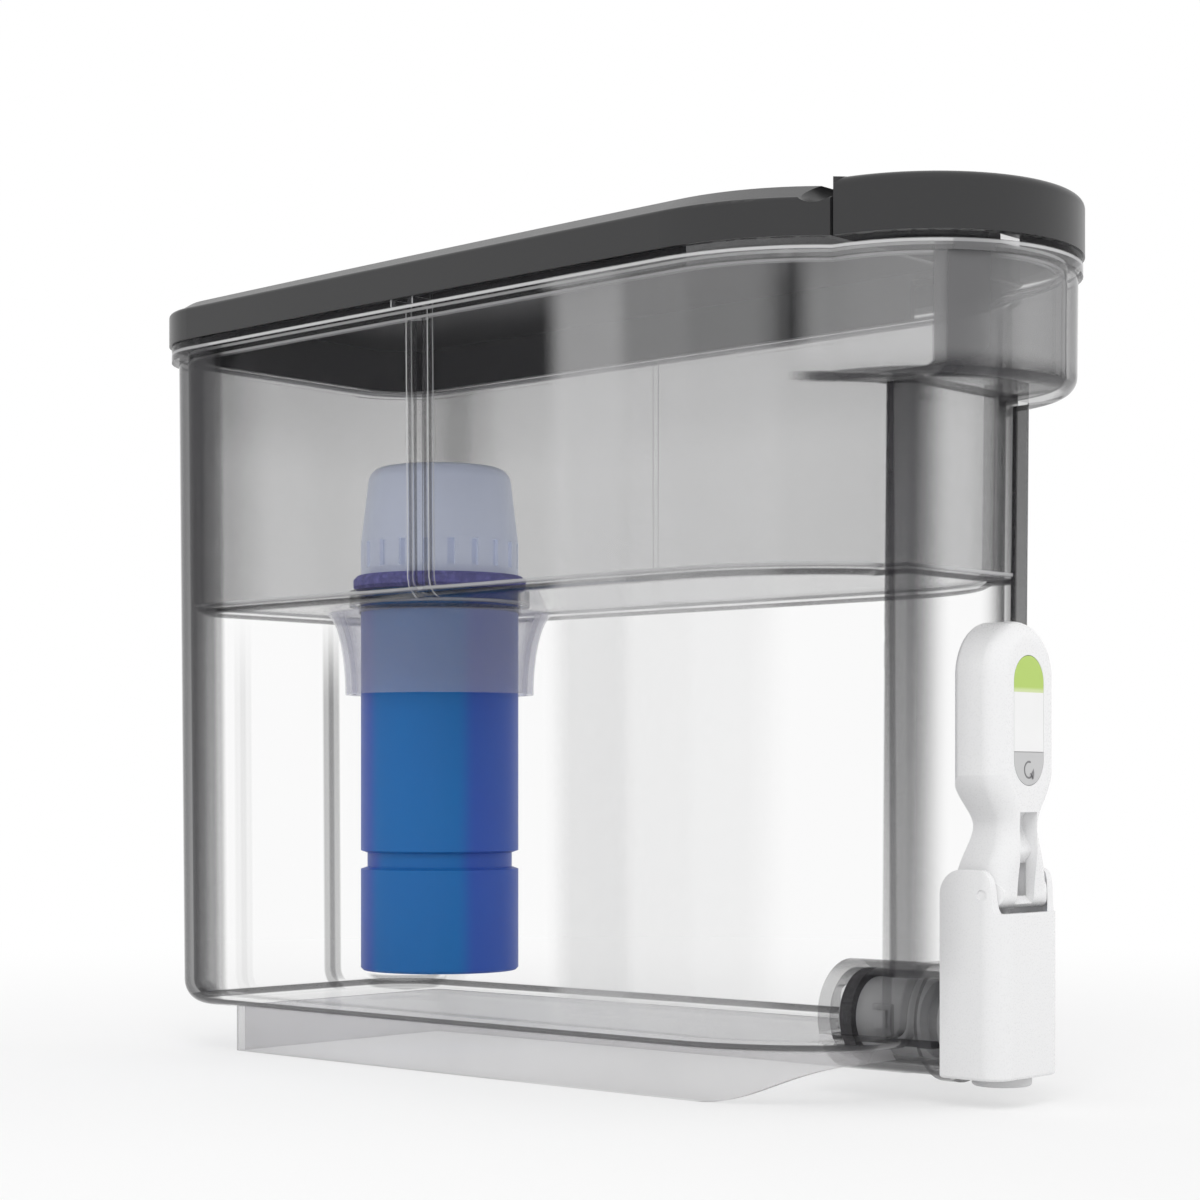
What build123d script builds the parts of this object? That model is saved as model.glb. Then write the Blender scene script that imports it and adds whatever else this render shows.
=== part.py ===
from build123d import *
from math import asin, atan, cos, degrees, radians, sin, sqrt, tan
import os

# Gravity water filter with a lever tap. Millimetres, +Z up, front (tap side) towards -Y.
# The origin lies on the table, below the middle of the lid's outline.

# ---- clear tank, in plan ----
body_depth = 287.0  # outer faces of front and rear wall at the rim
rear_half_width = 58.8
half_width = 62.0  # widest half-width, where the sides run into the rounded nose
nose_depth = 53.0  # from the front wall back to the middle of the rounded nose
rear_corner_r = 25.0
front_corner_r = 9.0
wall = 3.0
draft_deg = 0.5
least_corner_r = 1.0

# ---- clear tank, heights ----
tank_height = 219.0
tank_floor = 3.0
bottom_edge_r = 8.0
rim_overhang = 2.4
rim_height = 3.2

# ---- raised panel down the middle of the front wall ----
panel_half_width = 30.5
panel_depth = 7.1
panel_corner_r = 4.0
panel_rise = 21.0  # from the tank's bottom up to the panel
panel_root = 46.0  # how far the panel's outline reaches back behind its front

# ---- round bay at the top of the front, below the fill door ----
bay_r = 44.8
bay_offset = 12.4  # from the front wall back to the middle of the bay
bay_depth = 36.2
bay_edge_r = 5.0
bay_overhang = 1.3

# ---- reservoir that hangs in the tank ----
nest_gap = 0.8
reservoir_wall = 2.2
reservoir_edge_r = 6.0
reservoir_flange = 2.2
flute_back = 129.3  # from the rear wall forward to the two side flutes
flute_r = 2.2
flute_wall = 1.8

# ---- filter socket below the reservoir floor ----
filter_back = 80.0  # from the rear wall forward to the middle of the cartridge
socket_top_r = 38.8
socket_low_r = 31.4
socket_drop = 27.1
socket_wall = 2.0
socket_bore_gap = 0.8
socket_lip = 7.3  # from the underside of the reservoir's floor up to the seat
socket_lip_wall = 3.0

# ---- filter cartridge ----
filter_r = 26.3
filter_length = 126.0  # from the seat down
filter_floor_gap = 9.0  # from the tank's floor up to the cartridge
filter_wall = 1.6
filter_floor = 2.0
filter_edge = 0.8
groove_rise = 34.4
groove_width = 5.4
groove_depth = 2.2
neck_r = 24.8
neck_rise = 2.4
seal_r = 28.8
seal_height = 5.0
seal_chamfer = 1.3
cap_height = 36.2
cap_base_r = 26.2
cap_top_r = 23.2
cap_edge_r = 5.0
cap_collar = 3.0
cap_wall = 1.5
cap_slots = 20
cap_slot_width = 2.4
cap_slot_height = 8.6
media_gap = 0.1
screen_thickness = 1.2
drain_holes = 8
drain_hole_r = 2.4
drain_ring_r = 15.0

# ---- lid and fill door ----
lid_overhang = 3.2
lid_bay_overhang = 1.8
lid_skirt = 10.7
lid_wall = 2.4
lid_edge_r = 1.2
crown_inset = 1.8
crown_slope_deg = 58.0
crown_fall = 2.0  # from the front of the crown to its rear edge
lid_rib_depth = 4.0
lid_rib_wall = 2.0
lid_rib_gap = 0.5
door_height = 15.8
door_step = 0.4  # from the crown up to the top of the door
door_setback = 7.5  # from the front wall back to the split between lid and door
door_split_gap = 0.6
door_wall = 2.2
door_roof = 2.6
door_leaf = 3.7
door_edge_r = 2.6
hinge_setback = 3.9  # from the split back to the hinge
hinge_barrel_r = 2.6
hinge_groove_r = 4.3
hinge_half_length = 30.0
hinge_knuckle = 6.0
hinge_web = 1.5
hinge_side_gap = 0.5
hinge_pin_r = 1.2

# ---- foot ring below the tank ----
foot_height = 15.0
foot_inset = 10.0
foot_wall = 2.6
foot_rear_inset = 30.0
foot_corner_r = 3.0
recess_length = 46.0
recess_setback = 6.0  # from the front wall back to where the recess is highest
recess_height = 11.8

# ---- socket in the front wall that takes the tap's barrel ----
tap_axis_rise = 7.6  # from the tank's bottom up to the barrel's axis
tunnel_r = 15.8
tunnel_wall = 2.4
tunnel_depth = 36.0
mouth_reach = 3.4  # how far the mouth stands out in front of the front wall
mouth_r = 17.2
mouth_length = 5.0
inlet_half_width = 8.0
inlet_below = 4.4
inlet_above = 8.4
inlet_corner_r = 3.0

# ---- tap housing ----
tap_gap = 2.8  # between mouth and housing
tap_depth = 19.4
tap_half_width = 16.0
tap_below_axis = 14.4
tap_height = 57.2
tap_notch_drop = 11.9
tap_notch_setback = 2.4
tap_wall = 2.2
tap_front_r = 6.0
tap_shoulder_r = 7.0
tap_edge_r = 1.0
cover_thickness = 2.0
cover_drop = 15.4  # from the top of the housing down to the back cover
cover_gap = 0.2
cover_corner_r = 4.0
screw_r = 0.9
screw_head_r = 1.8
screw_head_height = 0.6
screw_reach = 9.0
screw_inset = 4.4  # from the side of the housing to each screw
screw_drop = 6.0  # from the top of the cover down to the screws
screw_boss_r = 2.6

# ---- valve ----
stem_inset = 9.6  # from the rear of the housing forward to the stem
barrel_r = 11.0
barrel_setback = 4.0  # from the rear of the tunnel forward to the barrel
barrel_length = 28.0
neck_tube_r = 7.0
neck_collar_r = 8.4
neck_collar = 1.6
port_r = 4.8
chamber_r = 7.4
chamber_bore_r = 5.8
chamber_height = 26.4
chamber_floor = 2.8
seat_bore_r = 3.6
seat_lip_r = 4.6
seat_lip_height = 1.0
gasket_inset = 2.0
gasket_width = 4.0
gasket_seat_depth = 1.6
lug_width = 5.0
lug_length = 4.0
lug_height = 1.0
lug_inset = 13.0  # from the front of the barrel back to the lugs
lug_gap = 0.3
catch_wall = 2.2
catch_leg = 6.0
catch_foot = 1.6
catch_root = 0.6
nozzle_r = 8.25
nozzle_bore_r = 6.0
nozzle_drop = 2.6
nozzle_edge_r = 1.0
nozzle_gap = 0.15
nozzle_flange = 1.2
nozzle_ear_r = 11.5
nozzle_ear_half = 5.0
bonnet_plug = 4.0
bonnet_flange = 2.0
stem_r = 2.0
stem_gap = 0.05
ring_r = 3.6
ring_height = 1.6
seal_disc_r = 5.3
seal_disc_height = 2.6
carrier_inset = 0.4
carrier_height = 1.8
spool_r = 3.4
spool_disc = 1.4
spool_waist_r = 1.8
spool_play = 0.4
spring_wire_r = 0.35
spring_mean_r = 4.3
spring_turns = 5.0

# ---- lever ----
stub_reach = 4.0  # the stem stands this far behind the pivot
pivot_drop = 6.9  # from the top of the housing down to the pivot
lever_throw_deg = 25.0
lever_hub_r = 3.8
lever_heel = 1.8
lever_front_reach = 4.8
lever_rear_reach = 10.0
lever_thin_reach = 8.0  # behind the pivot at the neck, where the blade is thinnest
lever_base_reach = 10.4
lever_base_half = 13.2
lever_base_rise = 3.5
lever_base_corner_r = 6.0
lever_neck_half = 8.2
lever_neck_rise = 19.5
lever_paddle_half = 15.2
lever_paddle_rise = 32.5
lever_height = 74.9  # from the pivot to the top
lever_front_rise = 12.0  # from the pivot up to where the front is flat
lever_split_depth = 7.4
lever_edge_r = 5.4
lever_rear_edge_r = 2.0
lever_shell = 1.8
cover_below = 6.0  # from the paddle's low end down to the edge of the front shell
pocket_half = 5.4
pocket_ahead = 5.0  # from the stem forward to the wall of the pocket
pocket_rise = 8.5
pin_r = 1.5
pin_gap = 0.05
pin_inset = 0.4
pin_wall = 0.8
stub_r = 1.4
stub_clear = 0.45
slot_half = 4.2
slot_rise = 22.5
slot_depth = 4.6
slot_round = 2.3
slot_low_rise = 12.0  # from the pivot up to where the slot turns shallow
slot_low_depth = 2.0

# ---- indicator in the lever ----
window_half = 7.4
window_drop = 9.4  # from the top of the lever down to the window
window_height = 35.8
window_flange = 1.0
window_lip = 1.2
lamp_height = 10.2
button_height = 9.2
fit_gap = 0.15
button_travel = 0.6
button_stem_r = 1.6
button_clear = 0.2
board_thickness = 1.2
board_half = 9.0
board_above = 3.8  # from the window's low edge up to the board
board_beyond = 2.0  # from the window's top edge up to the board's top
board_corner_r = 3.0
board_gap = 0.6  # from the joint between the two shells back to the board
room_half = 10.0
room_below = 2.0  # from the window's low edge down to the end of the cavity
room_above = 3.0
room_corner_r = 4.0
cell_r = 8.0
post_r = 1.3
post_pin_r = 0.6
post_inset = 2.4

# ---- places that follow from the sizes, in plan ----
front_y = -(body_depth + lid_overhang + bay_offset - bay_r - lid_bay_overhang) / 2
rear_y = front_y + body_depth
nose_centre_y = front_y + nose_depth
bay_centre_y = front_y + bay_offset
flute_y = rear_y - flute_back
filter_y = rear_y - filter_back
door_split_y = front_y + door_setback
hinge_y = door_split_y + hinge_setback
tunnel_rear_y = front_y + tunnel_depth
mouth_y = front_y - mouth_reach
tap_rear_y = mouth_y - tap_gap
tap_front_y = tap_rear_y - tap_depth
cover_front_y = tap_rear_y - cover_thickness
stem_y = tap_rear_y - stem_inset
barrel_rear_y = tunnel_rear_y - barrel_setback
barrel_front_y = barrel_rear_y - barrel_length
lug_y = barrel_front_y + lug_inset
pivot_y = stem_y - stub_reach
lever_front_y = pivot_y - lever_front_reach
lever_rear_y = pivot_y + lever_rear_reach
lever_thin_y = pivot_y + lever_thin_reach
lever_base_rear_y = pivot_y + lever_base_reach
lever_split_y = lever_front_y + lever_split_depth
window_back_y = lever_front_y + lever_shell
board_front_y = lever_split_y + board_gap
board_back_y = board_front_y + board_thickness
room_back_y = lever_rear_y - lever_shell

# ---- places that follow from the sizes, heights ----
tank_bottom_z = foot_height
tank_rim_z = tank_bottom_z + tank_height
panel_bottom_z = tank_bottom_z + panel_rise
bay_bottom_z = tank_rim_z - bay_depth
reservoir_rim_z = tank_rim_z + reservoir_flange
filter_bottom_z = tank_bottom_z + tank_floor + filter_floor_gap
filter_floor_z = filter_bottom_z + filter_floor
filter_seat_z = filter_bottom_z + filter_length
reservoir_bottom_z = filter_seat_z - socket_lip
reservoir_floor_z = reservoir_bottom_z + reservoir_wall
socket_low_z = reservoir_bottom_z - socket_drop
cap_low_z = filter_seat_z + seal_height
cap_top_z = cap_low_z + cap_height
media_top_z = filter_seat_z - seal_height
lid_low_z = reservoir_rim_z
skirt_top_z = lid_low_z + lid_skirt
door_top_z = lid_low_z + door_height
crown_front_z = door_top_z - door_step
crown_rear_z = crown_front_z - crown_fall
hinge_z = door_top_z - hinge_barrel_r
tap_axis_z = tank_bottom_z + tap_axis_rise
tap_bottom_z = tap_axis_z - tap_below_axis
tap_floor_z = tap_bottom_z + tap_wall
tap_top_z = tap_bottom_z + tap_height
tap_notch_z = tap_top_z - tap_notch_drop
cover_top_z = tap_top_z - cover_drop
nozzle_bottom_z = tap_bottom_z - nozzle_drop
chamber_bottom_z = tap_floor_z + nozzle_flange
chamber_top_z = chamber_bottom_z + chamber_height
seat_z = chamber_bottom_z + chamber_floor + seat_lip_height
bonnet_low_z = chamber_top_z - bonnet_plug
pivot_z = tap_top_z - pivot_drop
lever_low_z = pivot_z - lever_hub_r
lever_base_top_z = pivot_z + lever_base_rise
lever_neck_z = pivot_z + lever_neck_rise
lever_paddle_low_z = pivot_z + lever_paddle_rise
lever_top_z = pivot_z + lever_height
slot_high_z = pivot_z + slot_rise
slot_low_z = pivot_z + slot_low_rise
window_top_z = lever_top_z - window_drop
window_low_z = window_top_z - window_height
lamp_low_z = window_top_z - lamp_height
button_top_z = window_low_z + button_height
board_low_z = window_low_z + board_above
board_high_z = window_top_z + board_beyond
stub_y = pivot_y + stub_reach * cos(radians(lever_throw_deg / 2))
stub_z = pivot_z - stub_reach * sin(radians(lever_throw_deg / 2))
tunnel_bore_r = tunnel_r - tunnel_wall
beyond = 2 * body_depth  # outside the whole object in every direction, for cutting blocks
near = wall / 30  # how close counts as the same place, when a corner or an edge is picked
os.makedirs("parts", exist_ok=True)


# ---------------------------------------------------------------- plain helpers
def solid(face, low_z, high_z, taper=0.0):
    """The face, drawn at the top height, carried down to the low height and drawn in by the taper."""
    top = face.moved(Location((0, 0, high_z)))
    return extrude(top, amount=high_z - low_z, dir=(0, 0, -1), taper=taper)


def tube_z(radius, low_z, high_z, x=0.0, y=0.0):
    """Upright cylinder between two heights."""
    return Pos(x, y, (low_z + high_z) / 2) * Cylinder(radius, high_z - low_z)


def tube_y(radius, first_y, last_y, z, x=0.0):
    """Cylinder along Y between two places."""
    middle = Pos(x, (first_y + last_y) / 2, z)
    return middle * Rot(90, 0, 0) * Cylinder(radius, abs(last_y - first_y))


def tube_x(radius, first_x, last_x, y, z):
    """Cylinder along X between two places."""
    middle = Pos((first_x + last_x) / 2, y, z)
    return middle * Rot(0, 90, 0) * Cylinder(radius, abs(last_x - first_x))


def block(low, high):
    """Box between two corners."""
    size = [b - a for a, b in zip(low, high)]
    middle = [(a + b) / 2 for a, b in zip(low, high)]
    return Pos(*middle) * Box(*size)


def turned(points, y):
    """Solid of revolution about the upright axis at (0, y); points are (radius, z)."""
    outline = Polyline(*[(r, 0, z) for r, z in points], close=True)
    return Pos(0, y, 0) * revolve(make_face(outline), axis=Axis.Z)


def side_profile(line, half):
    """A closed outline in the YZ plane, carried to both sides."""
    return extrude(make_face(line), amount=half, dir=(1, 0, 0), both=True)


def round_top(shape, radius):
    """The shape with its highest edges rounded."""
    return fillet(shape.edges().group_by(Axis.Z)[-1], radius=radius)


def round_bottom(shape, radius):
    """The shape with its lowest edges rounded."""
    return fillet(shape.edges().group_by(Axis.Z)[0], radius=radius)


def corners_at(face, y):
    """Corners of a flat outline that lie at one Y."""
    return face.vertices().filter_by_position(Axis.Y, y - near, y + near)


def both_sides(piece):
    """The piece and its mirror image in the middle plane."""
    return [piece, mirror(piece, about=Plane.YZ)]


# ---------------------------------------------------------------- tank outline
def plan(grow):
    """Body outline at the rim, grown outwards: rear wall, bowed sides, round nose and flat front."""
    nose_r = half_width + grow
    wide = rear_half_width + grow
    back = rear_y + grow
    flat = front_y - grow
    flat_x = sqrt(nose_r**2 - (flat - nose_centre_y) ** 2)
    reach = back - nose_centre_y
    bow_r = (reach**2 + (nose_r - wide) ** 2) / (2 * (nose_r - wide))
    mid_y = (back + nose_centre_y) / 2
    mid_x = nose_r - bow_r + sqrt(bow_r**2 - (mid_y - nose_centre_y) ** 2)
    turn = asin((nose_centre_y - flat) / nose_r) / 2
    nose_x = nose_r * cos(turn)
    nose_y = nose_centre_y - nose_r * sin(turn)
    edges = [Line((-wide, back), (wide, back)), Line((-flat_x, flat), (flat_x, flat))]
    for side in (1, -1):
        rear = (side * wide, back)
        widest = (side * nose_r, nose_centre_y)
        edges.append(ThreePointArc(rear, (side * mid_x, mid_y), widest))
        edges.append(ThreePointArc(widest, (side * nose_x, nose_y), (side * flat_x, flat)))
    face = make_face(edges)
    face = fillet(corners_at(face, back), radius=rear_corner_r + grow)
    return fillet(corners_at(face, flat), radius=max(front_corner_r + grow, least_corner_r))


def panel_plan(grow):
    """Outline of the raised front panel, reaching back into the body."""
    half = panel_half_width + grow
    front = front_y - panel_depth - grow
    root = front_y - panel_depth + panel_root
    face = make_face(Polyline((-half, root), (half, root), (half, front), (-half, front), close=True))
    return fillet(corners_at(face, front), radius=max(panel_corner_r + grow, least_corner_r))


def bay_plan(grow):
    """Outline of the round bay."""
    return Pos(0, bay_centre_y) * Circle(bay_r + grow)


def tub(grow, low_z, panel_z, bay_z, high_z, edge_r, bay_r_edge):
    """Drafted body with its front panel and bay, drawn in or out from the tank's outer face."""
    body = round_bottom(solid(plan(grow), low_z, high_z, draft_deg), edge_r)
    panel = solid(panel_plan(grow), panel_z, high_z, draft_deg)
    bay = round_bottom(solid(bay_plan(grow), bay_z, high_z, draft_deg), bay_r_edge)
    return body + panel + bay


def rim(body_grow, bay_grow, low_z, high_z):
    """Flat rim that follows the body and the bay."""
    return solid(plan(body_grow), low_z, high_z) + solid(bay_plan(bay_grow), low_z, high_z)


# ---------------------------------------------------------------- tank and foot
def tank():
    outer = tub(0, tank_bottom_z, panel_bottom_z, bay_bottom_z, tank_rim_z, bottom_edge_r, bay_edge_r)
    inner = tub(
        -wall,
        tank_bottom_z + tank_floor,
        panel_bottom_z + wall,
        bay_bottom_z + wall,
        tank_rim_z,
        bottom_edge_r - wall,
        bay_edge_r - wall,
    )
    body = outer + rim(rim_overhang, bay_overhang, tank_rim_z - rim_height, tank_rim_z) - inner
    tunnel = tube_y(tunnel_r, tunnel_rear_y, mouth_y, tap_axis_z)
    tunnel += tube_y(mouth_r, mouth_y + mouth_length, mouth_y, tap_axis_z)
    bore = tube_y(tunnel_bore_r, tunnel_rear_y - tunnel_wall, mouth_y - 1, tap_axis_z)
    inlet = block(
        (-inlet_half_width, tunnel_rear_y - 2 * tunnel_wall, tap_axis_z - inlet_below),
        (inlet_half_width, tunnel_rear_y + 1, tap_axis_z + inlet_above),
    )
    inlet = fillet(inlet.edges().filter_by(Axis.Y), radius=inlet_corner_r)
    body = body + tunnel - bore - inlet
    for catch in both_sides(bayonet_catch()):
        body += catch
    return body


def bayonet_catch():
    """L-shaped catch on the wall of the tunnel, in front of one lug of the tap's barrel."""
    inner = barrel_r + lug_gap
    back_y = lug_y - lug_length / 2 - lug_gap
    front_y = back_y - catch_wall
    low_z = tap_axis_z - catch_leg
    bend_z = tap_axis_z + lug_width / 2 + lug_gap
    far_y = lug_y + lug_length / 2
    leg = block((inner, front_y, low_z), (tunnel_r, back_y, bend_z))
    foot = block((inner, front_y, bend_z), (tunnel_r, far_y, bend_z + catch_foot))
    return (leg + foot) & tube_y(tunnel_bore_r + catch_root, front_y, far_y, tap_axis_z)


def foot_plan(grow):
    """Outline of the foot ring, cut straight across at the rear."""
    shift = (tank_rim_z - tank_bottom_z) * tan(radians(draft_deg))
    rear = rear_y - foot_rear_inset + grow
    keep = Pos(0, rear - beyond / 2) * Rectangle(beyond, beyond)
    face = plan(grow - foot_inset - shift) & keep
    return fillet(corners_at(face, rear), radius=foot_corner_r + grow)


def base_skirt():
    """Foot ring; its lower edge rises in an S-curve to a finger recess at the front."""
    ring = solid(foot_plan(0), 0, foot_height) - solid(foot_plan(-foot_wall), -1, foot_height + 1)
    high = (0, front_y + recess_setback, recess_height)
    low = (0, front_y + recess_setback + recess_length, 0)
    middle = (0, (high[1] + low[1]) / 2, recess_height / 2)
    rise = Spline(low, middle, high, tangents=[(0, -1, 0), (0, -1, 0)])
    rest = Polyline(high, (0, -beyond, recess_height), (0, -beyond, -1), (0, low[1], -1), low)
    ring -= side_profile([rise, rest], beyond)
    ring -= tube_y(tunnel_r, tunnel_rear_y, -beyond, tap_axis_z)
    return ring - tube_y(mouth_r, mouth_y + mouth_length, -beyond, tap_axis_z)


# ---------------------------------------------------------------- reservoir
def reservoir():
    grow = -wall - nest_gap
    bay_z = bay_bottom_z + wall + nest_gap
    bay_edge = bay_edge_r - wall
    outer = tub(
        grow, reservoir_bottom_z, reservoir_bottom_z, bay_z, reservoir_rim_z, reservoir_edge_r, bay_edge
    )
    inner = tub(
        grow - reservoir_wall,
        reservoir_floor_z,
        reservoir_floor_z,
        bay_z + reservoir_wall,
        reservoir_rim_z,
        reservoir_edge_r - reservoir_wall,
        max(bay_edge - reservoir_wall, least_corner_r),
    )
    body = outer + rim(rim_overhang, bay_overhang, tank_rim_z, reservoir_rim_z)
    body -= inner
    for side in (1, -1):
        x = side * flute_x()
        body += tube_z(flute_r + flute_wall, reservoir_bottom_z, tank_rim_z, x, flute_y) & outer
        body -= tube_z(flute_r, reservoir_bottom_z - 1, tank_rim_z - rim_height, x, flute_y)
    bore = filter_r + socket_bore_gap
    body += tube_z(bore + socket_lip_wall, reservoir_bottom_z, filter_seat_z, 0, filter_y)
    body += socket_flare()
    return body - tube_z(bore, socket_low_z - 1, filter_seat_z + 1, 0, filter_y)


def flute_x():
    """Distance of the side flutes from the middle plane, on the reservoir's outer face."""
    drawn_in = (reservoir_rim_z - reservoir_bottom_z) * tan(radians(draft_deg))
    return half_width - wall - nest_gap - drawn_in / 2


def socket_flare():
    """Trumpet-shaped guard below the floor, open at the bottom: a quarter ellipse with an even wall."""
    span = socket_top_r - socket_low_r
    curve = EllipticalCenterArc((socket_top_r, socket_low_z), span, socket_drop, start_angle=90, arc_size=90)
    outer = Plane.XZ * curve
    inner = Pos(-socket_wall, 0, 0) * outer
    ends = [Line(outer @ 0, inner @ 0), Line(outer @ 1, inner @ 1)]
    return Pos(0, filter_y, 0) * revolve(make_face([outer, inner, *ends]), axis=Axis.Z)


# ---------------------------------------------------------------- filter cartridge
def filter_body():
    """Cup with a waist groove, a drain in the floor and a neck for the cap."""
    groove_z = filter_bottom_z + groove_rise
    groove_top_z = groove_z + groove_width
    neck_top_z = cap_low_z + neck_rise
    outline = [
        (0, filter_bottom_z),
        (filter_r - filter_edge, filter_bottom_z),
        (filter_r, filter_bottom_z + filter_edge),
        (filter_r, groove_z - filter_edge),
        (filter_r - groove_depth, groove_z),
        (filter_r - groove_depth, groove_top_z - filter_edge),
        (filter_r, groove_top_z),
        (filter_r, filter_seat_z),
        (neck_r, filter_seat_z),
        (neck_r, neck_top_z),
        (neck_r - filter_wall, neck_top_z),
        (neck_r - filter_wall, filter_seat_z - seal_height / 2),
        (media_r() + media_gap, media_top_z),
        (media_r() + media_gap, filter_floor_z),
        (0, filter_floor_z),
    ]
    body = turned(outline, filter_y)
    drain = tube_z(drain_hole_r, filter_bottom_z - 1, filter_floor_z + 1, drain_ring_r)
    for hole in PolarLocations(0, drain_holes):
        body -= Pos(0, filter_y, 0) * hole * drain
    return body


def media_r():
    """Radius of the bed, clear of the barrel's inner wall behind the groove."""
    return filter_r - groove_depth - filter_wall - media_gap


def filter_seal():
    """Soft ring that closes the gap between cartridge and reservoir."""
    outline = [
        (neck_r, filter_seat_z),
        (seal_r - seal_chamfer, filter_seat_z),
        (seal_r, filter_seat_z + seal_chamfer),
        (seal_r, cap_low_z - seal_chamfer),
        (seal_r - seal_chamfer, cap_low_z),
        (neck_r, cap_low_z),
    ]
    return turned(outline, filter_y)


def filter_cap():
    """Domed cap with a crown of upright inlet slots."""
    collar_z = cap_low_z + cap_slot_height + cap_collar
    outer = [
        (0, cap_low_z),
        (cap_base_r, cap_low_z),
        (cap_base_r, collar_z),
        (cap_top_r, cap_top_z),
        (0, cap_top_z),
    ]
    inner_r = cap_base_r - cap_wall
    inner = [
        (0, cap_low_z),
        (neck_r, cap_low_z),
        (neck_r, cap_low_z + neck_rise),
        (inner_r, cap_low_z + neck_rise),
        (inner_r, collar_z),
        (cap_top_r - cap_wall, cap_top_z - cap_wall),
        (0, cap_top_z - cap_wall),
    ]
    cap = round_top(turned(outer, filter_y), cap_edge_r)
    cap -= round_top(turned(inner, filter_y), cap_edge_r - cap_wall)
    slot_z = cap_low_z + neck_rise + cap_slot_height / 2
    slot = Pos(cap_base_r, 0, slot_z) * Box(4 * cap_wall, cap_slot_width, cap_slot_height)
    for place in PolarLocations(0, cap_slots):
        cap -= Pos(0, filter_y, 0) * place * slot
    return cap


def filter_media():
    """Packed bed between the two screens."""
    low = filter_floor_z + screen_thickness
    return tube_z(media_r(), low, media_top_z - screen_thickness, 0, filter_y)


def filter_screen(low_z):
    """Thin mesh disc that holds the bed in."""
    return tube_z(media_r(), low_z, low_z + screen_thickness, 0, filter_y)


# ---------------------------------------------------------------- lid and fill door
def ahead_of(y):
    """Everything in front of a place in Y."""
    return block((-beyond, -beyond, -beyond), (beyond, y, beyond))


def lid():
    behind_split = door_split_y + door_split_gap / 2
    shell = rim(lid_overhang, lid_bay_overhang, lid_low_z, skirt_top_z) - ahead_of(behind_split)
    top_edges = shell.edges().group_by(Axis.Z)[-1]
    shell = fillet([e for e in top_edges if e.center().Y > behind_split + near], radius=lid_edge_r)
    shell += crown() - ahead_of(behind_split)
    hollow = solid(plan(lid_overhang - lid_wall), lid_low_z - 1, skirt_top_z - lid_wall)
    rib_grow = -wall - nest_gap - reservoir_wall - lid_rib_gap
    hollow += solid(plan(rib_grow - lid_rib_wall), skirt_top_z - lid_wall, skirt_top_z)
    shell -= hollow - ahead_of(behind_split + lid_wall)
    low = lid_low_z - lid_rib_depth
    high = skirt_top_z - lid_wall
    rib = solid(plan(rib_grow), low, high) - solid(plan(rib_grow - lid_rib_wall), low - 1, high + 1)
    for side in (1, -1):
        rib -= tube_z(flute_r + flute_wall + lid_rib_gap, low - 1, high + 1, side * flute_x(), flute_y)
    shell += rib - ahead_of(nose_centre_y)
    return hinge_cut(shell)


def crown():
    """Raised middle of the lid: sloping sides, and a top that falls gently to the rear."""
    rise = max(crown_front_z, crown_rear_z) + door_step - skirt_top_z
    sunk = solid(plan(lid_overhang - crown_inset), skirt_top_z - rise, skirt_top_z, crown_slope_deg)
    raised = mirror(sunk, about=Plane.XY.offset(skirt_top_z))
    slope = degrees(atan(crown_fall / (rear_y - door_split_y)))
    shave = Pos(0, door_split_y, crown_front_z) * Rot(-slope, 0, 0) * Pos(0, 0, beyond / 2)
    return raised - shave * Box(2 * beyond, 2 * beyond, beyond)


def hinge_cut(shell):
    """Trough for the door's barrel, and the two knuckles that hold the pin."""
    shell -= tube_x(hinge_groove_r, -beyond, beyond, hinge_y, hinge_z)
    shell -= block((-beyond, -beyond, hinge_z), (beyond, hinge_y, beyond))
    first = hinge_half_length + hinge_side_gap
    last = first + hinge_knuckle
    knuckle = tube_x(hinge_barrel_r, first, last, hinge_y, hinge_z)
    knuckle += block(
        (first, hinge_y - hinge_barrel_r, hinge_z - hinge_groove_r - hinge_web),
        (last, hinge_y + hinge_barrel_r, hinge_z),
    )
    for piece in both_sides(knuckle):
        shell += piece
    return shell - tube_x(hinge_pin_r, -last, last, hinge_y, hinge_z)


def fill_door():
    """Front cap of the lid, hinged at its rear edge."""
    rear_y = door_split_y - door_split_gap / 2
    cap = rim(lid_overhang, lid_bay_overhang, lid_low_z, door_top_z) & ahead_of(rear_y)
    top_edges = cap.edges().group_by(Axis.Z)[-1]
    cap = fillet([e for e in top_edges if e.center().Y < rear_y - near], radius=door_edge_r)
    cap -= rim(lid_overhang - door_wall, lid_bay_overhang - door_wall, lid_low_z - 1, door_top_z - door_roof)
    leaf = block(
        (-hinge_half_length, rear_y - door_leaf, door_top_z - door_roof),
        (hinge_half_length, hinge_y, door_top_z),
    )
    cap += leaf + tube_x(hinge_barrel_r, -hinge_half_length, hinge_half_length, hinge_y, hinge_z)
    return cap - tube_x(hinge_pin_r + pin_gap, -beyond, beyond, hinge_y, hinge_z)


def hinge_pin():
    reach = hinge_half_length + hinge_side_gap + hinge_knuckle
    return tube_x(hinge_pin_r, -reach, reach, hinge_y, hinge_z)


# ---------------------------------------------------------------- tap housing
def tap_outline(grow):
    """Plan of the tap housing: square at the rear, rounded at the front."""
    half = tap_half_width + grow
    front = tap_front_y - grow
    rear = tap_rear_y
    face = make_face(Polyline((-half, rear), (half, rear), (half, front), (-half, front), close=True))
    return fillet(corners_at(face, front), radius=tap_front_r + grow)


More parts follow.
